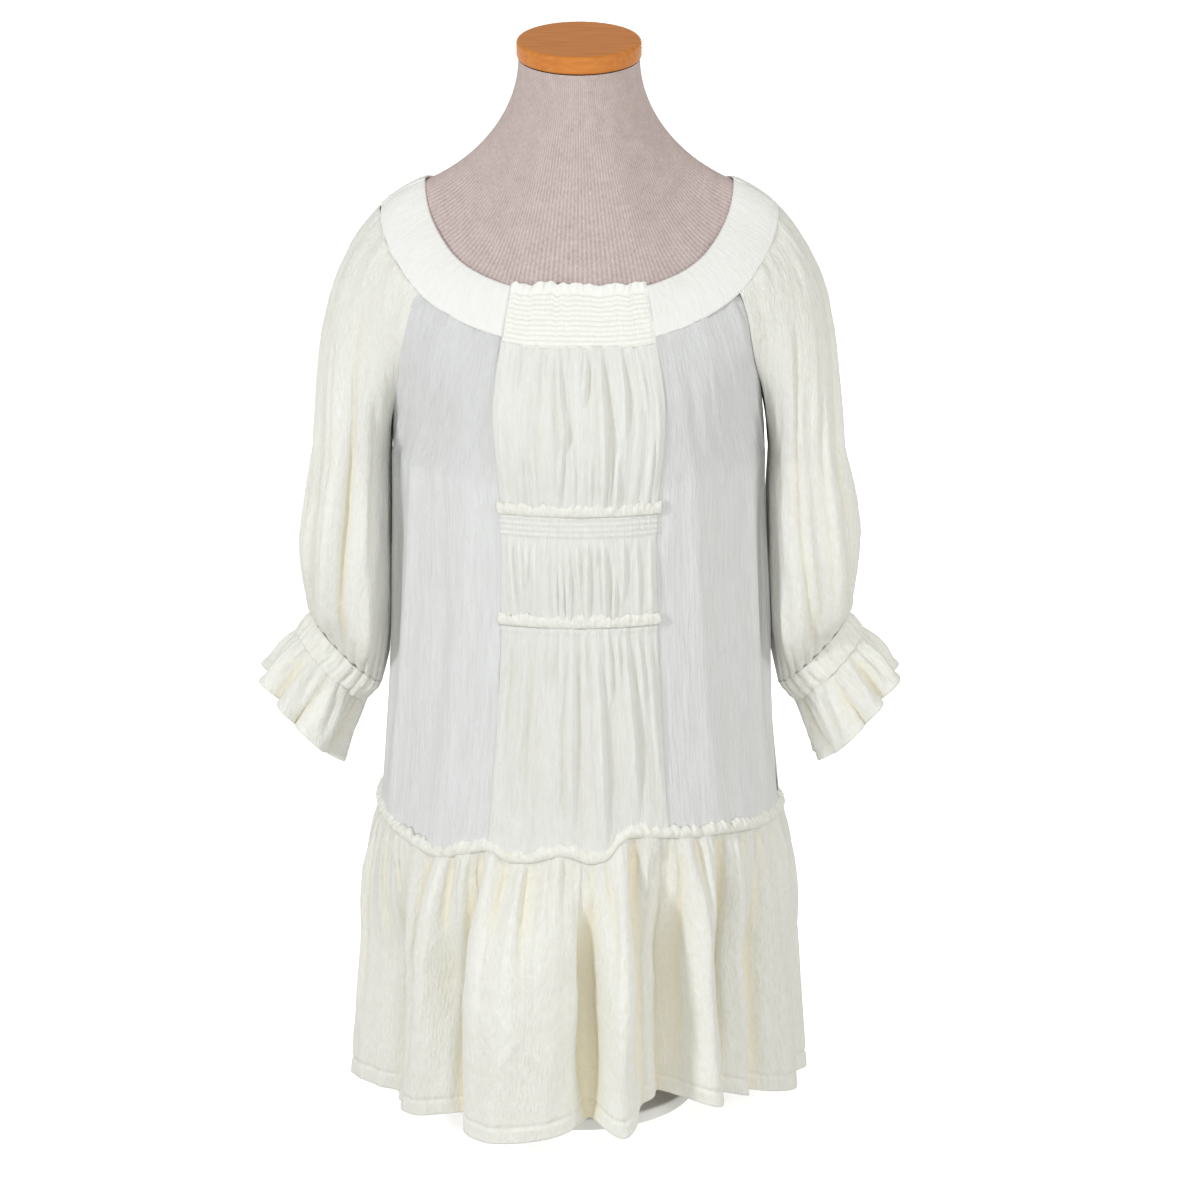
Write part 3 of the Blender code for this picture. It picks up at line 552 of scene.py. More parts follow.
def mixed(tree, factor, first, second):
    """The first colour, which may come from another node, mixed into the second."""
    node = tree.nodes.new("ShaderNodeMix")
    node.data_type = "RGBA"
    node.inputs["B"].default_value = (*second, 1)
    tree.links.new(factor, node.inputs["Factor"])
    if isinstance(first, tuple):
        node.inputs["A"].default_value = (*first, 1)
    else:
        tree.links.new(first, node.inputs["A"])
    return node.outputs["Result"]


def add_bump(tree, shader, height, strength, distance):
    bump = tree.nodes.new("ShaderNodeBump")
    bump.inputs["Strength"].default_value = strength
    bump.inputs["Distance"].default_value = distance
    tree.links.new(height, bump.inputs["Height"])
    tree.links.new(bump.outputs["Normal"], shader.inputs["Normal"])


def gauze_material(name, light, shade, bump_height, pucker_stretch, deep=(0.925, 0.868, 0.7)):
    """Matt cotton crepe: lengthwise puckers, a fine uneven weave, painted shade in the pucker valleys with
    random patches, and painted warm shade in the hollows.
    """
    made, tree, shader = new_material(name, light, 0.92, 0.18)
    shader.inputs["Sheen Weight"].default_value = 0.1
    shader.inputs["Sheen Roughness"].default_value = 0.6
    cut = tree.nodes.new("ShaderNodeUVMap").outputs["UV"]
    puckers = stretched_noise(tree, cut, (1, pucker_stretch, 1), 330, 5)
    weave = stretched_noise(tree, cut, (1, 0.6, 1), 1500, 2)
    patches = stretched_noise(tree, cut, (1, 0.45, 1), 26, 3)
    # Painted shade in the pucker valleys: the colour follows the pucker bump, with random patches mixed in
    tone_and_relief_shade = ranged(tree, summed(tree, patches, 0.35, puckers), 0.5, 0.78)
    # Painted warm shade: hollows are mixed towards the deep colour
    painted_hollow_shade = tree.nodes.new("ShaderNodeAttribute")
    painted_hollow_shade.attribute_name = "painted_hollow_shade"
    with_hollow_shade = mixed(tree, painted_hollow_shade.outputs["Fac"], mixed(tree, tone_and_relief_shade, shade, light), deep)
    tree.links.new(with_hollow_shade, shader.inputs["Base Color"])
    add_bump(tree, shader, summed(tree, puckers, 2.2, weave), 0.8, bump_height)
    return made


def knit_material():
    """Fine vertical ribs of the form's knit cover, taupe with random mottling, a painted highlight on the
    rib ridges and painted shade between them.
    """
    rib = 0.0031
    made, tree, shader = new_material("form_knit", (0.56, 0.45, 0.37), 0.95, 0.15)
    shader.inputs["Sheen Weight"].default_value = 0.15
    cut = tree.nodes.new("ShaderNodeUVMap").outputs["UV"]
    split = tree.nodes.new("ShaderNodeSeparateXYZ")
    tree.links.new(cut, split.inputs["Vector"])
    turns = tree.nodes.new("ShaderNodeMath")
    turns.operation = "MULTIPLY"
    turns.inputs[1].default_value = 2 * math.pi / rib
    tree.links.new(split.outputs["X"], turns.inputs[0])
    wave = tree.nodes.new("ShaderNodeMath")
    wave.operation = "SINE"
    tree.links.new(turns.outputs[0], wave.inputs[0])
    fuzz = stretched_noise(tree, cut, (1, 0.35, 1), 700, 4)
    mottled = stretched_noise(tree, cut, (1, 1, 1), 60, 4)
    ribs = summed(tree, ranged(tree, wave.outputs[0], -1, 1), 0.34, fuzz)
    # Painted highlight on the rib ridges and painted shade between them, with random mottling mixed in
    tone_and_relief_shade = ranged(tree, summed(tree, mottled, 0.5, ribs), 0.5, 1.25)
    colour = mixed(tree, tone_and_relief_shade, (0.4, 0.32, 0.305), (0.66, 0.55, 0.535))
    tree.links.new(colour, shader.inputs["Base Color"])
    add_bump(tree, shader, ribs, 0.5, 0.0008)
    return made


def wood_material():
    """Honey-coloured varnished wood with a fine straight grain."""
    made, tree, shader = new_material("cap_wood", (0.52, 0.2, 0.03), 0.42, 0.15)
    shader.inputs["Coat Weight"].default_value = 0.06
    shader.inputs["Coat Roughness"].default_value = 0.25
    place = tree.nodes.new("ShaderNodeTexCoord").outputs["Object"]
    grain = stretched_noise(tree, place, (0.12, 1, 1), 260, 6)
    colour = mixed(tree, grain, (0.46, 0.135, 0.02), (0.76, 0.285, 0.06))
    tree.links.new(colour, shader.inputs["Base Color"])
    return made


def stand_material():
    made, _, _ = new_material("stand_metal", (0.9, 0.9, 0.88), 0.45)
    return made


# Each gauze's deep colour, given last or left as the default, is the painted warm shade laid in its hollows
GAUZE = gauze_material(
    "gauze", (0.875, 0.88, 0.858), (0.835, 0.836, 0.795), 0.0011, 0.16, (0.79, 0.765, 0.67)
)
PLAIN = gauze_material(
    "gauze_plain", (0.825, 0.832, 0.845), (0.775, 0.778, 0.785), 0.0012, 0.1, (0.77, 0.76, 0.72)
)
CREPE = gauze_material("crepe", (0.958, 0.958, 0.92), (0.912, 0.907, 0.84), 0.0012, 0.34)
SMOCKED = gauze_material(
    "smocked", (0.925, 0.928, 0.905), (0.895, 0.893, 0.85), 0.0004, 0.3, (0.78, 0.775, 0.705)
)
NECKBAND = gauze_material("neckband", (0.885, 0.885, 0.875), (0.86, 0.857, 0.835), 0.0005, 0.2)
KNIT = knit_material()
WOOD = wood_material()
METAL = stand_material()


# Pieces
def grid_normals(points):
    down = np.gradient(points, axis=0)
    across = np.gradient(points, axis=1)
    normals = np.cross(down, across)
    size = np.linalg.norm(normals, axis=-1, keepdims=True)
    return normals / np.maximum(size, 1e-12)


def averaged(points, count):
    """Each point's average with its neighbours on both sides across the grid."""
    padded = np.pad(points, ((0, 0), (count, count), (0, 0)), mode="edge")
    total = np.cumsum(np.pad(padded, ((0, 0), (1, 0), (0, 0))), axis=1)
    size = 2 * count + 1
    return (total[:, size:] - total[:, :-size]) / size


def hollow_shade_mask(points, sign, spacing, rowed=False):
    """How deep each point lies in a crease, between folds or between rows of stitching, from 0 to 1, as the
    mask for painted warm shade.
    """
    normals = sign * grid_normals(points)
    deep = 0
    for spread, depth, share in HOLLOW_SHADE_SPREADS:
        count = max(2, round(spread / spacing))
        below = ((averaged(points, count) - points) * normals).sum(axis=-1)
        deep = deep + share * np.clip(below / depth, 0, 1)
    # Painted shade also in the dips between rows of stitching
    if rowed:
        level = np.swapaxes(averaged(np.swapaxes(points, 0, 1), 3), 0, 1)
        deep = deep + np.clip(((level - points) * normals).sum(axis=-1) / ROW_DIP, 0, 1)
    return np.clip(deep, 0, 1)


def mesh_of(name, points, material, flip=False, size=None, shares=None):
    """A grid of points as an object, with its cut's metres as its UV map."""
    rows, columns, _ = points.shape
    across = np.linalg.norm(np.diff(points, axis=1), axis=-1).sum(axis=1)
    along = np.linalg.norm(np.diff(points, axis=0), axis=-1).sum(axis=0)
    width, length = size or (float(across.max()), float(along.mean()))
    index = np.arange(rows * columns).reshape(rows, columns)
    quads = np.stack([index[:-1, :-1], index[1:, :-1], index[1:, 1:], index[:-1, 1:]], -1).reshape(-1, 4)
    if flip:
        quads = quads[:, ::-1]
    mesh = bpy.data.meshes.new(name)
    mesh.from_pydata(points.reshape(-1, 3).tolist(), [], quads.tolist())
    if shares is None:
        shares = np.linspace(0, 1, rows)
    u, v = np.meshgrid(np.linspace(0, width, columns), length * (1 - shares))
    cut = np.stack([u.reshape(-1), v.reshape(-1)], -1)[quads.reshape(-1)]
    layer = mesh.uv_layers.new(name="UVMap")
    layer.data.foreach_set("uv", cut.reshape(-1).astype(np.float32))
    mesh.polygons.foreach_set("use_smooth", np.ones(len(quads), bool))
    mesh.materials.append(material)
    item = bpy.data.objects.new(name, mesh)
    bpy.context.scene.collection.objects.link(item)
    return item, width, length


def stand_in(item, node):
    """The piece rides on the only body, in place of its CAD node."""
    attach(item, "root")
    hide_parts(node)


def cloth(node, place, across, down, swell=None, fine=None, thickness=CLOTH, material=GAUZE,
          slot="gauze", held="hung", rests_on=("form_torso",), flip=False, rowed=False):
    """One cut piece as a thin shell that stands for its solid. Down is a count of rows or their shares."""
    shares = down if isinstance(down, np.ndarray) else np.linspace(0, 1, down + 1)
    c, r = np.meshgrid(np.linspace(0, 1, across + 1), shares)
    points = place(c, r)
    sign = -1 if flip else 1
    for offset in (swell, fine):
        if offset is not None:
            points = points + sign * grid_normals(points) * offset(c, r)[..., None]
    item, width, length = mesh_of(f"{node}_cloth", points, material, flip, shares=shares)
    # Mask of painted warm shade: how deep each point lies in a hollow
    painted_hollow_shade = item.data.attributes.new("painted_hollow_shade", "FLOAT", "POINT")
    deep = hollow_shade_mask(points, sign, width / across, rowed)
    painted_hollow_shade.data.foreach_set("value", deep.reshape(-1).astype(np.float32))
    shell = item.modifiers.new("thickness", "SOLIDIFY")
    shell.thickness = thickness
    shell.offset = -1
    stand_in(item, node)


gathered = partial(cloth, material=CREPE, held="gathered")


def seam_groove(c, width, depth, reach_in=0.003):
    """A soft dip along both sewn side edges."""
    return -depth * (bell(c * width, reach_in) + bell((1 - c) * width, reach_in))


def pinches(c, count, seed):
    """Tight uneven gathers: rounded tops between narrow valleys."""
    moved = c * count + 0.55 * noise(c * count * 0.45, 0, seed)
    size = 0.75 + 0.35 * noise(c * count * 0.3, 2.0, seed + 1)
    return size * (np.abs(np.sin(np.pi * moved)) ** 0.6 - 0.6)


def crepe(c, r, cut, seed, strength):
    """The crepe's crumpled puckers, shorter and stronger than on the flat panels."""
    x, y = c * cut[0], r * cut[1]
    fine = noise(x / 0.0042 + 0.6 * noise(x / 0.02, y / 0.02, seed + 5), y / 0.012, seed) * 0.00034
    broad = noise(x / 0.011, y / 0.038, seed + 3) * 0.0008
    soft = noise(x / 0.03, y / 0.11, seed + 7) * 0.0014
    return strength * (fine + broad + soft)


def stitch_line(distance, at, depth=0.0005, wide=0.0011):
    return -depth * bell(distance - at, wide)


def add_neckbands():
    width = NECKBAND_WIDTH + LAP

    def strip(start, end):
        return lambda c, r: body(lerp(start, end, c), width * r)

    def finish(around, seed):
        def fine(c, r):
            down = r * width
            edge = -0.001 * bell(down, 0.0014) - 0.0007 * bell(width - down, 0.0012)
            rows = stitch_line(down, 0.0035) + stitch_line(down, width - 0.0045)
            pucker = 0.00018 * noise(c * around / 0.006, r * 5, seed)
            pucker = pucker + 0.0009 * noise(c * around / 0.035, r * 2, seed + 1)
            pull = 0.0005 * noise(c * around / 0.009, r * 1.5, seed + 2) * np.exp(-(width - down) / 0.012)
            return LAP_RISE * 2 + 0.0005 * hump(r) + edge + rows + pucker + pull

        return fine

    edge = float(centre_seam(NECK_SEAM_Z)) - BAND_LAP_DEGREES
    for node, start, end, around, columns, seed in (
        ("neckband_left", edge, 90 + BAND_LAP_DEGREES, 0.15, 70, 1),
        ("neckband_right", -90 - BAND_LAP_DEGREES, -edge, 0.15, 70, 2),
        ("neckband_back", 90, 270, 0.33, 120, 3),
    ):
        cloth(node, strip(start, end), columns, 26, fine=finish(around, seed), thickness=BAND_CLOTH,
              material=NECKBAND, slot="neckband")


def add_neck_smocking():
    edge = float(centre_seam(NECK_SEAM_Z)) + BAND_LAP_DEGREES
    whole = SMOCKING_FRILL + SMOCKING_LENGTH

    def place(c, r):
        """The frill's raw top is uneven and lowest beside the bands."""
        rise = 0.3 + 0.45 * hump(c) ** 0.5 + 0.2 * noise(c * 26, 0, 11) + 0.14 * noise(c * 9, 0, 12)
        down = lerp(-SMOCKING_FRILL * rise, SMOCKING_LENGTH + LAP, r)
        return body(lerp(-edge, edge, c), down)

    def fine(c, r):
        low = r * whole - 1.4 * SMOCKING_FRILL
        inside = gentle(from_sides(c, 30))
        row = np.floor(low / SMOCKING_ROW)
        standing = gentle(-low / SMOCKING_FRILL)
        ragged = 0.0016 + 0.0024 * pinches(c, 12, 17) + 0.0018 * noise(c * 34, r * 3, 13)
        puff = np.abs(np.sin(np.pi * low / SMOCKING_ROW)) ** 0.6 * (low > 0)
        pleats = 0.00024 * np.sin(2 * np.pi * (44 * c + 0.5 * noise(c * 22, row, 21))) * puff
        soft = 0.0005 * noise(c * 12, low / 0.012, 15)
        return standing * inside * ragged + (0.002 * puff + pleats + soft) * inside - 0.0004

    # The smocking also gets painted shade in the dips between its rows
    cloth("neck_smocking", place, 200, 84, fine=fine, material=SMOCKED, held="gathered", rowed=True)


def centre_place(top, bottom):
    """Places a centre panel between two lines, each a distance down for an angle."""

    def edge(side, r):
        seam = np.full_like(r, side * SEAM_ANGLE)
        return side * (seam_angle(lerp(top(seam), bottom(seam), r)) + LAP_DEGREES)

    def place(c, r):
        angle = lerp(edge(-1, r), edge(1, r), c)
        return body(angle, lerp(top(angle), bottom(angle), r))

    return place


def at_height(z):
    return lambda angle: down_to(angle, z)


def add_centre_panels():
    def smocking_edge(angle):
        return np.full_like(angle, SMOCKING_LENGTH)

    def seam_at_tier(angle):
        return down_to(angle, tier_seam(angle) - LAP)

    def arch(c):
        return hump(c) ** 0.6

    def lap(c):
        return LAP_RISE + seam_groove(c, LOWER_CUT[0], 0.0006, 0.0016)

    def upper_swell(c, r):
        puff = 0.0055 * hump(r) ** 0.8 * arch(c)
        ends = np.exp(-r * 8) + np.exp(-(1 - r) * 8)
        main = 0.0007 * waves(c + 0.012 * np.sin(5 * r + 3 * c), 10)
        small = 0.0013 * pinches(c, 24, 34) * ends * arch(c)
        soft = 0.0022 * noise(c * 7, r * 1.6, 31) * hump(r) * arch(c)
        return puff + main + small + soft + creases(CENTRE_UPPER_RIDGES, 1.45)(c, r)

    def upper_fine(c, r):
        return crepe(c, r, UPPER_CUT, 40, 0.5) + lap(c)

    def mid_swell(c, r):
        shirred = gentle((r * MID_LENGTH - 0.013) / SHIRRING_LENGTH)
        puff = 0.0032 * hump(r) * arch(c)
        ends = np.exp(-np.abs(r - 0.24) * 9) + np.exp(-(1 - r) * 8)
        small = 0.0011 * pinches(c, 30, 35) * ends * arch(c)
        soft = 0.0014 * noise(c * 9, r * 1.5, 32) * hump(r) * arch(c)
        return puff + (small + soft + creases(CENTRE_MID_RIDGES, 1.35)(c, r)) * shirred

    def mid_fine(c, r):
        low = r * MID_LENGTH
        rows = sum(bell(low - at, 0.0013) for at in SHIRRING_ROWS)
        turn = 2 * np.pi * 44 * c + 2 * noise(c * 20, low / 0.0045, 22)
        pleats = 0.00022 * np.sin(turn) * (low < SHIRRING_LENGTH)
        return 0.0015 * rows + pleats + crepe(c, r, MID_CUT, 41, 0.45) + lap(c)

    def lower_swell(c, r):
        puff = 0.005 * gentle(r * 1.5) * arch(c) * (1 - gentle(r * 2 - 1))
        main = 0.001 * waves(c + 0.015 * np.sin(3 * r + 4 * c), 7) * (0.4 + 0.6 * hump(r))
        small = 0.0013 * pinches(c, 26, 36) * np.exp(-r * 10) * arch(c)
        soft = 0.0026 * noise(c * 6, r * 1.6, 33) * hump(r) * arch(c)
        return puff + main + small + soft + creases(CENTRE_LOWER_RIDGES, 1.5)(c, r)

    def lower_fine(c, r):
        row = 0.0012 * bell(r * LOWER_CUT[1] - 0.0035, 0.0013)
        return row + crepe(c, r, LOWER_CUT, 42, 0.5) + lap(c)

    upper = centre_place(smocking_edge, at_height(HEADER_UPPER_Z - LAP))
    cloth("centre_upper", upper, 140, 86, upper_swell, upper_fine, held="gathered")
    middle = centre_place(at_height(HEADER_UPPER_Z), at_height(HEADER_LOWER_Z - LAP))
    cloth("centre_mid", middle, 150, 86, mid_swell, mid_fine, held="gathered")
    lower = centre_place(at_height(HEADER_LOWER_Z), seam_at_tier)
    cloth("centre_lower", lower, 130, 96, lower_swell, lower_fine, held="gathered")

    for node, z, seed in (("header_upper", HEADER_UPPER_Z, 51), ("header_lower", HEADER_LOWER_Z, 55)):

        def frill_place(c, r, z=z, seed=seed):
            top = HEADER_HEIGHT * (0.98 + 0.16 * noise(c * 24, 0, seed) + 0.12 * noise(c * 70, 0, seed + 1))
            height = z - 0.0006 + (top + 0.0006) * (1 - r)
            edge = seam_angle(down_to(np.full_like(c, SEAM_ANGLE), height)) + 2 * LAP_DEGREES
            angle = lerp(-edge, edge, c)
            return body(angle, down_to(angle, height))

        def frill_swell(c, r, seed=seed):
            stand = 1 - r
            wave = 0.001 * waves(c, 12) + 0.0012 * pinches(c, 27, seed + 3)
            wave = wave + 0.001 * noise(c * 60, r * 2, seed + 2)
            frayed = 0.0006 * noise(c * 90, r * 5, seed + 4)
            return 0.0011 + 0.0024 * hump(stand) ** 0.7 + wave * stand * (1 - 0.4 * stand) + frayed

        under = ("centre_upper_cloth",)
        gathered(node, frill_place, 240, 7, frill_swell, thickness=FRILL_CLOTH, rests_on=under)


def add_side_fronts():
    lines = creases(SIDE_FRONT_CREASES, 1.5)

    def strip(side):
        def place(c, r):
            share, low = levels(r, SIDE_FRONT_UPPER)
            is_upper = r <= SIDE_FRONT_UPPER
            above = lerp(NECKBAND_WIDTH, reach(SEAM_ANGLE), share)
            below = down_to(SEAM_ANGLE, lerp(UNDERARM_Z, tier_seam(side * SEAM_ANGLE), low))
            seam = np.where(is_upper, seam_angle(above), seam_angle(below))
            armhole = raglan(RAGLAN_FRONT_TOP, share) + raglan_lap(share)
            edge = np.where(is_upper, armhole, 90.0 + LAP_DEGREES * low)
            angle = side * lerp(seam, edge, c)
            high = lerp(NECKBAND_WIDTH, reach(angle), share)
            deep = down_to(angle, lerp(UNDERARM_Z, tier_seam(angle) - LAP, low))
            return body(angle, np.where(is_upper, high, deep))

        return place

    for node, side, seed in (("front_left", 1, 61), ("front_right", -1, 65)):

        def fine(c, r, seed=seed, side=side):
            own = lines(c + 0.05 * (side < 0) * np.sin(4 * r), r) * gentle(r * 2.2)
            top = 0.0007 * noise(c * 16, r * 2, seed + 9) * np.exp(-r * 9)
            return own * from_sides(c, 14) + top + crinkle(c, r, SIDE_FRONT_CUT, seed, 1.8) - LAP_RISE

        cloth(node, strip(side), 84, 140, fine=fine, material=PLAIN, flip=side < 0)


def add_back():
    def place(c, r):
        share, low = levels(r, BACK_UPPER)
        is_upper = r <= BACK_UPPER
        edge = np.where(is_upper, raglan(RAGLAN_BACK_TOP, share) - raglan_lap(share), 90.0)
        angle = lerp(edge, 360 - edge, c)
        high = lerp(NECKBAND_WIDTH, reach(angle), share)
        deep = down_to(angle, lerp(UNDERARM_Z, tier_seam(angle), low))
        return body(angle, np.where(is_upper, high, deep))

    def swell(c, r):
        folds = np.cos(2 * np.pi * 4 * (c - 0.5)) * hump(c)
        return 0.004 * folds * gentle(r * 1.3 - 0.2) * (1 - gentle(r * 3 - 2))

    def fine(c, r):
        lines = creases(BACK_CREASES)(c, r) * gentle(r * 2)
        return lines * from_sides(c, 14) + crinkle(c, r, BACK_CUT, 71, 1.4) - LAP_RISE

    cloth("back", place, 150, 110, swell, fine, material=PLAIN)


def add_tier():
    def strip(start, gathers, seed):
        def place(c, r):
            angle = start + 180 * c + LAP_DEGREES * (c - 0.5) * 0.6
            share = r**1.15
            top = tier_seam(angle) + LAP
            z = lerp(top, hem(angle), share)
            wide = np.stack(oval(angle, body_ring(top)), -1)
            low = np.stack(oval(angle, HEM_SIZES), -1)
            flat = lerp(wide, low, (share**0.85)[..., None])
            turn = np.radians(angle)
            facing = np.stack([np.sin(turn), -np.cos(turn)], -1)
            folds = tier_folds(angle) * gentle(share * 1.8) ** 0.65
            start_up = gentle(share * 10 + 0.3)
            small = 0.003 * waves(c, gathers) * (1 - share) ** 1.3 * start_up
            lean = c + 0.004 * np.sin(3 * share + 40 * c)
            tight = 0.0036 * pinches(lean, gathers * 2.7, seed + 8) * np.exp(-share * 4.4) * start_up
            bulge = 0.006 * hump(np.minimum(share * 2.2, 1.0)) + 0.0012 * np.exp(-share * 30)
            inside = gentle(from_sides(c, 30))
            flat = flat + facing * (folds + (small + tight) * inside + bulge)[..., None]
            return np.concatenate([flat, z[..., None]], -1)

        def fine(c, r):
            lines = creases(TIER_CREASES, 1.3)(c, r)
            pull = noise(c * 58 + 0.8 * r, r * 1.4, seed) * 0.0032 * np.exp(-r * 1.6) * gentle(r * 9 + 0.2)
            soft = noise(c * 26 + 0.5 * r, r * 1.8, seed + 1) * 0.0042 * hump(r)
            stitched = stitch_line((1 - r) * TIER_CUT[1], 0.0125, 0.0016, 0.0016)
            wobble = 0.0012 * noise(c * 40, 0, seed + 2) * gentle(r * 5 - 4)
            puckers = crepe(c, r, TIER_CUT, seed + 4, 1.3)
            inside = gentle(from_sides(c, 30))
            return (lines + pull + soft + wobble + puckers) * inside + stitched

        return place, fine

    # Rows lie closer by the hem, where its stitching is
    rows = np.concatenate([np.linspace(0, 0.925, 60)[:-1], np.linspace(0.925, 1, 16)])
    for node, start, gathers, columns, seed in (
        ("tier_front", -90, 20, 400, 81),
        ("tier_back", 90, 12, 330, 91),
    ):
        place, fine = strip(start, gathers, seed)
        gathered(node, place, columns, rows, fine=fine)

    for node, start, seed in (("tier_header_front", -90, 101), ("tier_header_back", 90, 111)):

        def frill_place(c, r, start=start, seed=seed):
            angle = start + 180 * c
            top = HEADER_HEIGHT * (1.0 + 0.2 * noise(c * 60, 0, seed) + 0.22 * noise(c * 170, 0, seed + 1))
            return body(angle, down_to(angle, tier_seam(angle) - 0.0015 + (top + 0.0015) * (1 - r)))

        def frill_swell(c, r, seed=seed):
            stand = 1 - r
            wave = 0.001 * waves(c, 41) + 0.0014 * noise(c * 120, r * 2, seed + 2)
            wave = wave + 0.002 * pinches(c, 66, seed + 5)
            crumpled = 0.0015 * pinches(c + 0.002 * np.sin(9 * r), 125, seed + 7)
            crumpled = crumpled + 0.0012 * noise(c * 180, r * 5, seed + 6)
            roll = 0.0042 * hump(stand) ** 0.7
            base = lerp(0.001, -0.0014, stand**2)
            return base + roll + (wave + crumpled) * gentle(stand * 2.0) * (1 - 0.75 * stand)

        under = ("tier_front_cloth",)
        gathered(node, frill_place, 520, 6, frill_swell, thickness=FRILL_CLOTH, rests_on=under)


# Sleeves
def tube_point(sizes, share):
    x, z, half_width, half_depth, tilt = np.moveaxis(sizes, -1, 0)
    turn, lean = 2 * np.pi * share, np.radians(tilt)
    out = -half_width * np.cos(turn)
    return np.stack([x + out * np.cos(lean), -half_depth * np.sin(turn), z + out * np.sin(lean)], -1)


def mirrored(points, side):
    """The points on the wearer's left for 1 and on the right for -1."""
    return points * np.array([side, 1, 1])


def cuff_gathers(c):
    """The same gathers run through the sleeve's end, the casing and the ruffle's top."""
    return 0.0036 * pinches(c, 24, 141)


def sleeve_cap(share, down):
    angle = lerp(RAGLAN_FRONT_TOP, RAGLAN_BACK_TOP, share)
    start = body(angle, NECKBAND_WIDTH)
    way = unit(body(angle, NECKBAND_WIDTH + 0.004) - start)
    end = tube_point(np.array(SLEEVE_RINGS[0][1:]), share)
    bow = (0.25 + 0.75 * hump(share))[..., None]
    corners = (start, start + way * 0.072 * bow, end + np.array([-0.006, 0, 0.085]) * bow, end)
    return bezier(corners, down)


def raglan_edge(down, top):
    angle = raglan(top, down)
    edge = body(angle, lerp(NECKBAND_WIDTH, reach(angle), down))
    return edge + np.array([0.0012, 0, 0.0008]) * gentle(down * 2 - 1)[..., None]


def add_sleeve(side, word, seed):
    def place(c, r):
        down, low = levels(r, SLEEVE_UPPER)
        cap = sleeve_cap(c, down)
        near_front = np.clip(1 - c / 0.4, 0, 1)[..., None] ** 2
        near_back = np.clip(1 - (1 - c) / 0.4, 0, 1)[..., None] ** 2
        cap = cap + near_front * (raglan_edge(down, RAGLAN_FRONT_TOP) - sleeve_cap(np.zeros_like(c), down))
        cap = cap + near_back * (raglan_edge(down, RAGLAN_BACK_TOP) - sleeve_cap(np.ones_like(c), down))
        tube = tube_point(sleeve_rings(4 * low), c)
        return mirrored(np.where((r <= SLEEVE_UPPER)[..., None], cap, tube), side)

    def swell(c, r):
        grow = gentle((r - 0.06) / 0.6) * (1 - gentle((r - 0.84) / 0.16))
        flatter = 0.01 * bell(c - 0.5, 0.16) * bell(r - 0.84, 0.13) * (1 - gentle((r - 0.9) / 0.09))
        return sleeve_folds(c) * grow - flatter

    def fine(c, r):
        lines = creases(SLEEVE_CREASES)(c + 0.02 * side * np.sin(3 * r), r)
        gathers = cuff_gathers(c + 0.006 * np.sin(7 * (1 - r))) * gentle((r - 0.74) / 0.26) ** 1.3
        top = 0.001 * waves(c, 9) * np.exp(-r * 10)
        soft = noise(c * 14, r * 3, seed) * 0.0014 * gentle(r * 3)
        groove = seam_groove(c, SLEEVE_CUT[0], 0.0008) * (r < SLEEVE_UPPER)
        tuck = gentle((r - 0.92) / 0.08)
        free = (lines + soft) * from_sides(c, 12) + crepe(c, r, SLEEVE_CUT, seed + 3, 1.2)
        return free * (1 - tuck) + gathers + top + groove - 0.0003 * tuck

    cloth(f"sleeve_{word}", place, 170, 124, swell, fine, material=CREPE, flip=side < 0)


def add_cuff(side, word, seed):
    def casing_place(c, r):
        return mirrored(tube_point(casing_rings(lerp(-0.05, 1.03, r)), c), side)

    def casing_swell(c, r):
        bands = 0.0007 * (bell(r - 0.3, 0.14) + bell(r - 0.72, 0.14))
        gathers = cuff_gathers(c + 0.004 * hump(r))
        tight = 0.0012 * pinches(c + 0.01 * np.sin(4 * r), 55, 143) * hump(r)
        return (bands + 0.0006) * hump(r) + gathers + tight + 0.001 * noise(c * 50, r * 3, seed)

    def ruffle_place(c, r):
        tucked = casing_rings(np.full_like(r, 0.93))
        rings = lerp(ruffle_rings(r), tucked, (r < 0.01)[..., None])
        return mirrored(tube_point(rings, c), side)

    def ruffle_swell(c, r):
        phase = 2 * np.pi * 8 * c + 0.9 * np.sin(2 * np.pi * 3 * c) + 0.5 * np.sin(3 * r)
        main = (np.abs(np.sin(phase / 2)) ** 0.7 - 0.55) * lerp(0.001, 0.019, r)
        second = 0.0026 * np.sin(2 * np.pi * 19 * c + 1.3) * hump(np.clip(r * 1.1, 0, 1))
        tight = cuff_gathers(c) * (1 - r) ** 1.6
        return main + second + tight + 0.002 * noise(c * 34, r * 2, seed + 1) * r - 0.0006 * np.exp(-r * 20)

    def ruffle_fine(c, r):
        hem_line = stitch_line((1 - r) * RUFFLE_CUT[1], 0.008, 0.0007)
        return hem_line + crepe(c, r, RUFFLE_CUT, seed + 2, 1.2)

    gathered(f"cuff_band_{word}", casing_place, 200, 16, casing_swell, flip=side < 0)
    gathered(f"cuff_ruffle_{word}", ruffle_place, 200, 30, ruffle_swell, ruffle_fine, flip=side < 0)


# Form and stand
def form_surface(angle, down):
    """The form under the dress, set in from the cloth."""
    found = body(angle, down)
    along = body(angle, down + 0.002) - body(angle, np.maximum(down - 0.002, 0))
    around = body(angle + 0.5, down) - body(angle - 0.5, down)
    facing = unit(np.cross(along, around))
    share = down / reach(angle)
    shoulder = np.sin(np.radians(angle)) ** 4
    near = lerp(FORM_INSET_FRONT, BAND_CLOTH + FORM_INSET_SHOULDER, shoulder)
    return found - facing * lerp(near, FORM_INSET_UNDERARM, gentle(share * 1.2 - 0.2))[..., None]


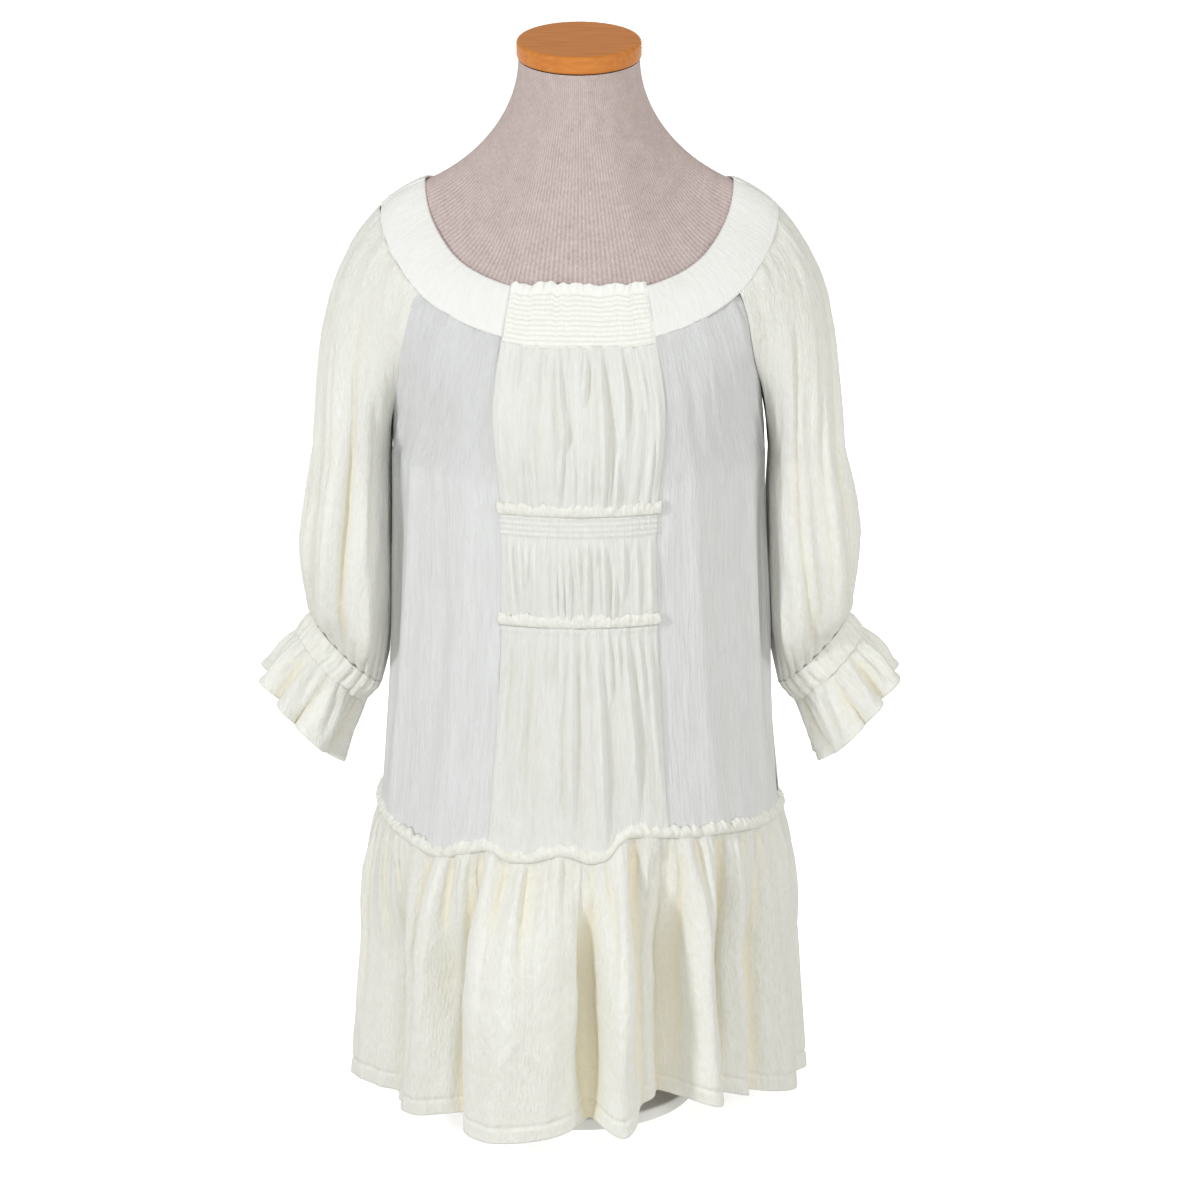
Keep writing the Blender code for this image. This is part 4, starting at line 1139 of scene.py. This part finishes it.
def add_form():
    across = 144
    angle = np.linspace(0, 360, across + 1)
    turn = np.radians(angle)
    rows = []
    flat = np.stack([np.sin(turn), -np.cos(turn)], -1) * NECK_TOP_RADIUS
    start = np.concatenate([flat, (NECK_TOP_Z + flat[:, 1] * math.tan(CAP_TILT))[:, None]], -1)
    end = form_surface(angle, np.zeros_like(angle))
    way = unit(end - form_surface(angle, np.full_like(angle, 0.004)))
    corners = (start, start - np.array([0, 0, 0.045]), end + way * 0.05, end)
    for t in np.linspace(0, 1, 40)[:-1]:
        rows.append(bezier(corners, np.full_like(angle, t)))
    for share in np.linspace(0, 1, 48)[:-1]:
        rows.append(form_surface(angle, reach(angle) * share))
    for z in np.linspace(UNDERARM_Z, FORM_BOTTOM_Z, 44):
        x, y = oval(angle, form_ring(z))
        rows.append(np.stack([x, y, np.full_like(x, z)], -1))
    edge = rows[-1]
    centre = edge.mean(axis=0)
    for share in (0.97, 0.6, 0.1):
        rows.append(centre + (edge - centre) * share)
    item, _, _ = mesh_of("form_cover", np.array(rows), KNIT, size=(0.62, 0.78))
    stand_in(item, "form_torso")


def add_disc(node, name, radius, height, middle, material, bevel, tilt):
    bpy.ops.mesh.primitive_cylinder_add(
        vertices=128, radius=radius, depth=height, location=middle, rotation=(tilt, 0, 0)
    )
    disc = bpy.context.object
    disc.name = name
    if bevel:
        rounding = disc.modifiers.new("rounding", "BEVEL")
        rounding.width = bevel
        rounding.segments = 5
        rounding.limit_method = "ANGLE"
    for polygon in disc.data.polygons:
        polygon.use_smooth = len(polygon.vertices) == 4
    disc.data.materials.append(material)
    stand_in(disc, node)


def add_stand():
    lift = CAP_THICKNESS / 2 + 0.0002
    cap_middle = (0, -lift * math.sin(CAP_TILT), NECK_TOP_Z + lift * math.cos(CAP_TILT))
    base_middle = (0, 0, BASE_THICKNESS / 2)
    start, end = BASE_THICKNESS, FORM_BOTTOM_Z
    post_middle = (0, 0, (start + end) / 2)
    for node, name, radius, height, middle, material, bevel, slot, tilt in (
        ("form_neck_cap", "neck_cap", CAP_RADIUS, CAP_THICKNESS, cap_middle, WOOD, 0.003, "cap_wood",
         CAP_TILT),
        ("stand_base", "base", BASE_RADIUS, BASE_THICKNESS, base_middle, METAL, 0.002, "stand_metal", 0),
        ("stand_post", "post", POST_RADIUS, end - start, post_middle, METAL, 0, "stand_metal", 0),
    ):
        add_disc(node, name, radius, height, middle, material, bevel, tilt)


# Studio
def add_light(name, place, size, watts, colour):
    light = bpy.data.lights.new(name, "AREA")
    light.shape = "DISK"
    light.size = size
    light.energy = watts
    light.color = colour
    item = bpy.data.objects.new(name, light)
    item.location = place
    way = np.array(LIGHT_AIM) - np.array(place)
    turn = math.atan2(way[1], way[0]) - math.pi / 2
    lean = math.atan2(way[2], math.hypot(way[0], way[1])) + math.pi / 2
    item.rotation_euler = (lean, 0, turn)
    bpy.context.scene.collection.objects.link(item)


def add_studio():
    bpy.ops.mesh.primitive_plane_add(size=FLOOR_SIZE, location=(0, 0, 0))
    floor = bpy.context.object
    floor.name = "floor"
    pale, _, shader = new_material("floor_white", (0.94, 0.94, 0.93), 0.95, 0)
    shader.inputs["Emission Color"].default_value = (1.0, 1.0, 1.0, 1)
    shader.inputs["Emission Strength"].default_value = FLOOR_GLOW
    floor.data.materials.append(pale)
    floor.visible_diffuse = False
    world = bpy.data.worlds.new("studio")
    world.use_nodes = True
    sky = world.node_tree.nodes["Background"]
    sky.inputs["Color"].default_value = (*SKY_COLOUR, 1)
    sky.inputs["Strength"].default_value = SKY_STRENGTH
    bpy.context.scene.world = world
    for light in LIGHTS:
        add_light(*light)
    bpy.context.scene.view_settings.view_transform = "Standard"


def add_camera():
    data = bpy.data.cameras.new("camera")
    data.sensor_width = CAMERA_SENSOR
    data.lens = CAMERA_LENS
    item = bpy.data.objects.new("camera", data)
    item.location = CAMERA_PLACE
    drop = math.atan2(CAMERA_PLACE[2] - CAMERA_AIM_Z, -CAMERA_PLACE[1])
    item.rotation_euler = (math.pi / 2 - drop, 0, 0)
    bpy.context.scene.collection.objects.link(item)
    bpy.context.scene.camera = item


add_neckbands()
add_neck_smocking()
add_centre_panels()
add_side_fronts()
add_back()
add_tier()
for side, word, seed in ((1, "left", 121), (-1, "right", 131)):
    add_sleeve(side, word, seed)
    add_cuff(side, word, seed + 5)
add_form()
add_stand()
add_studio()
add_camera()
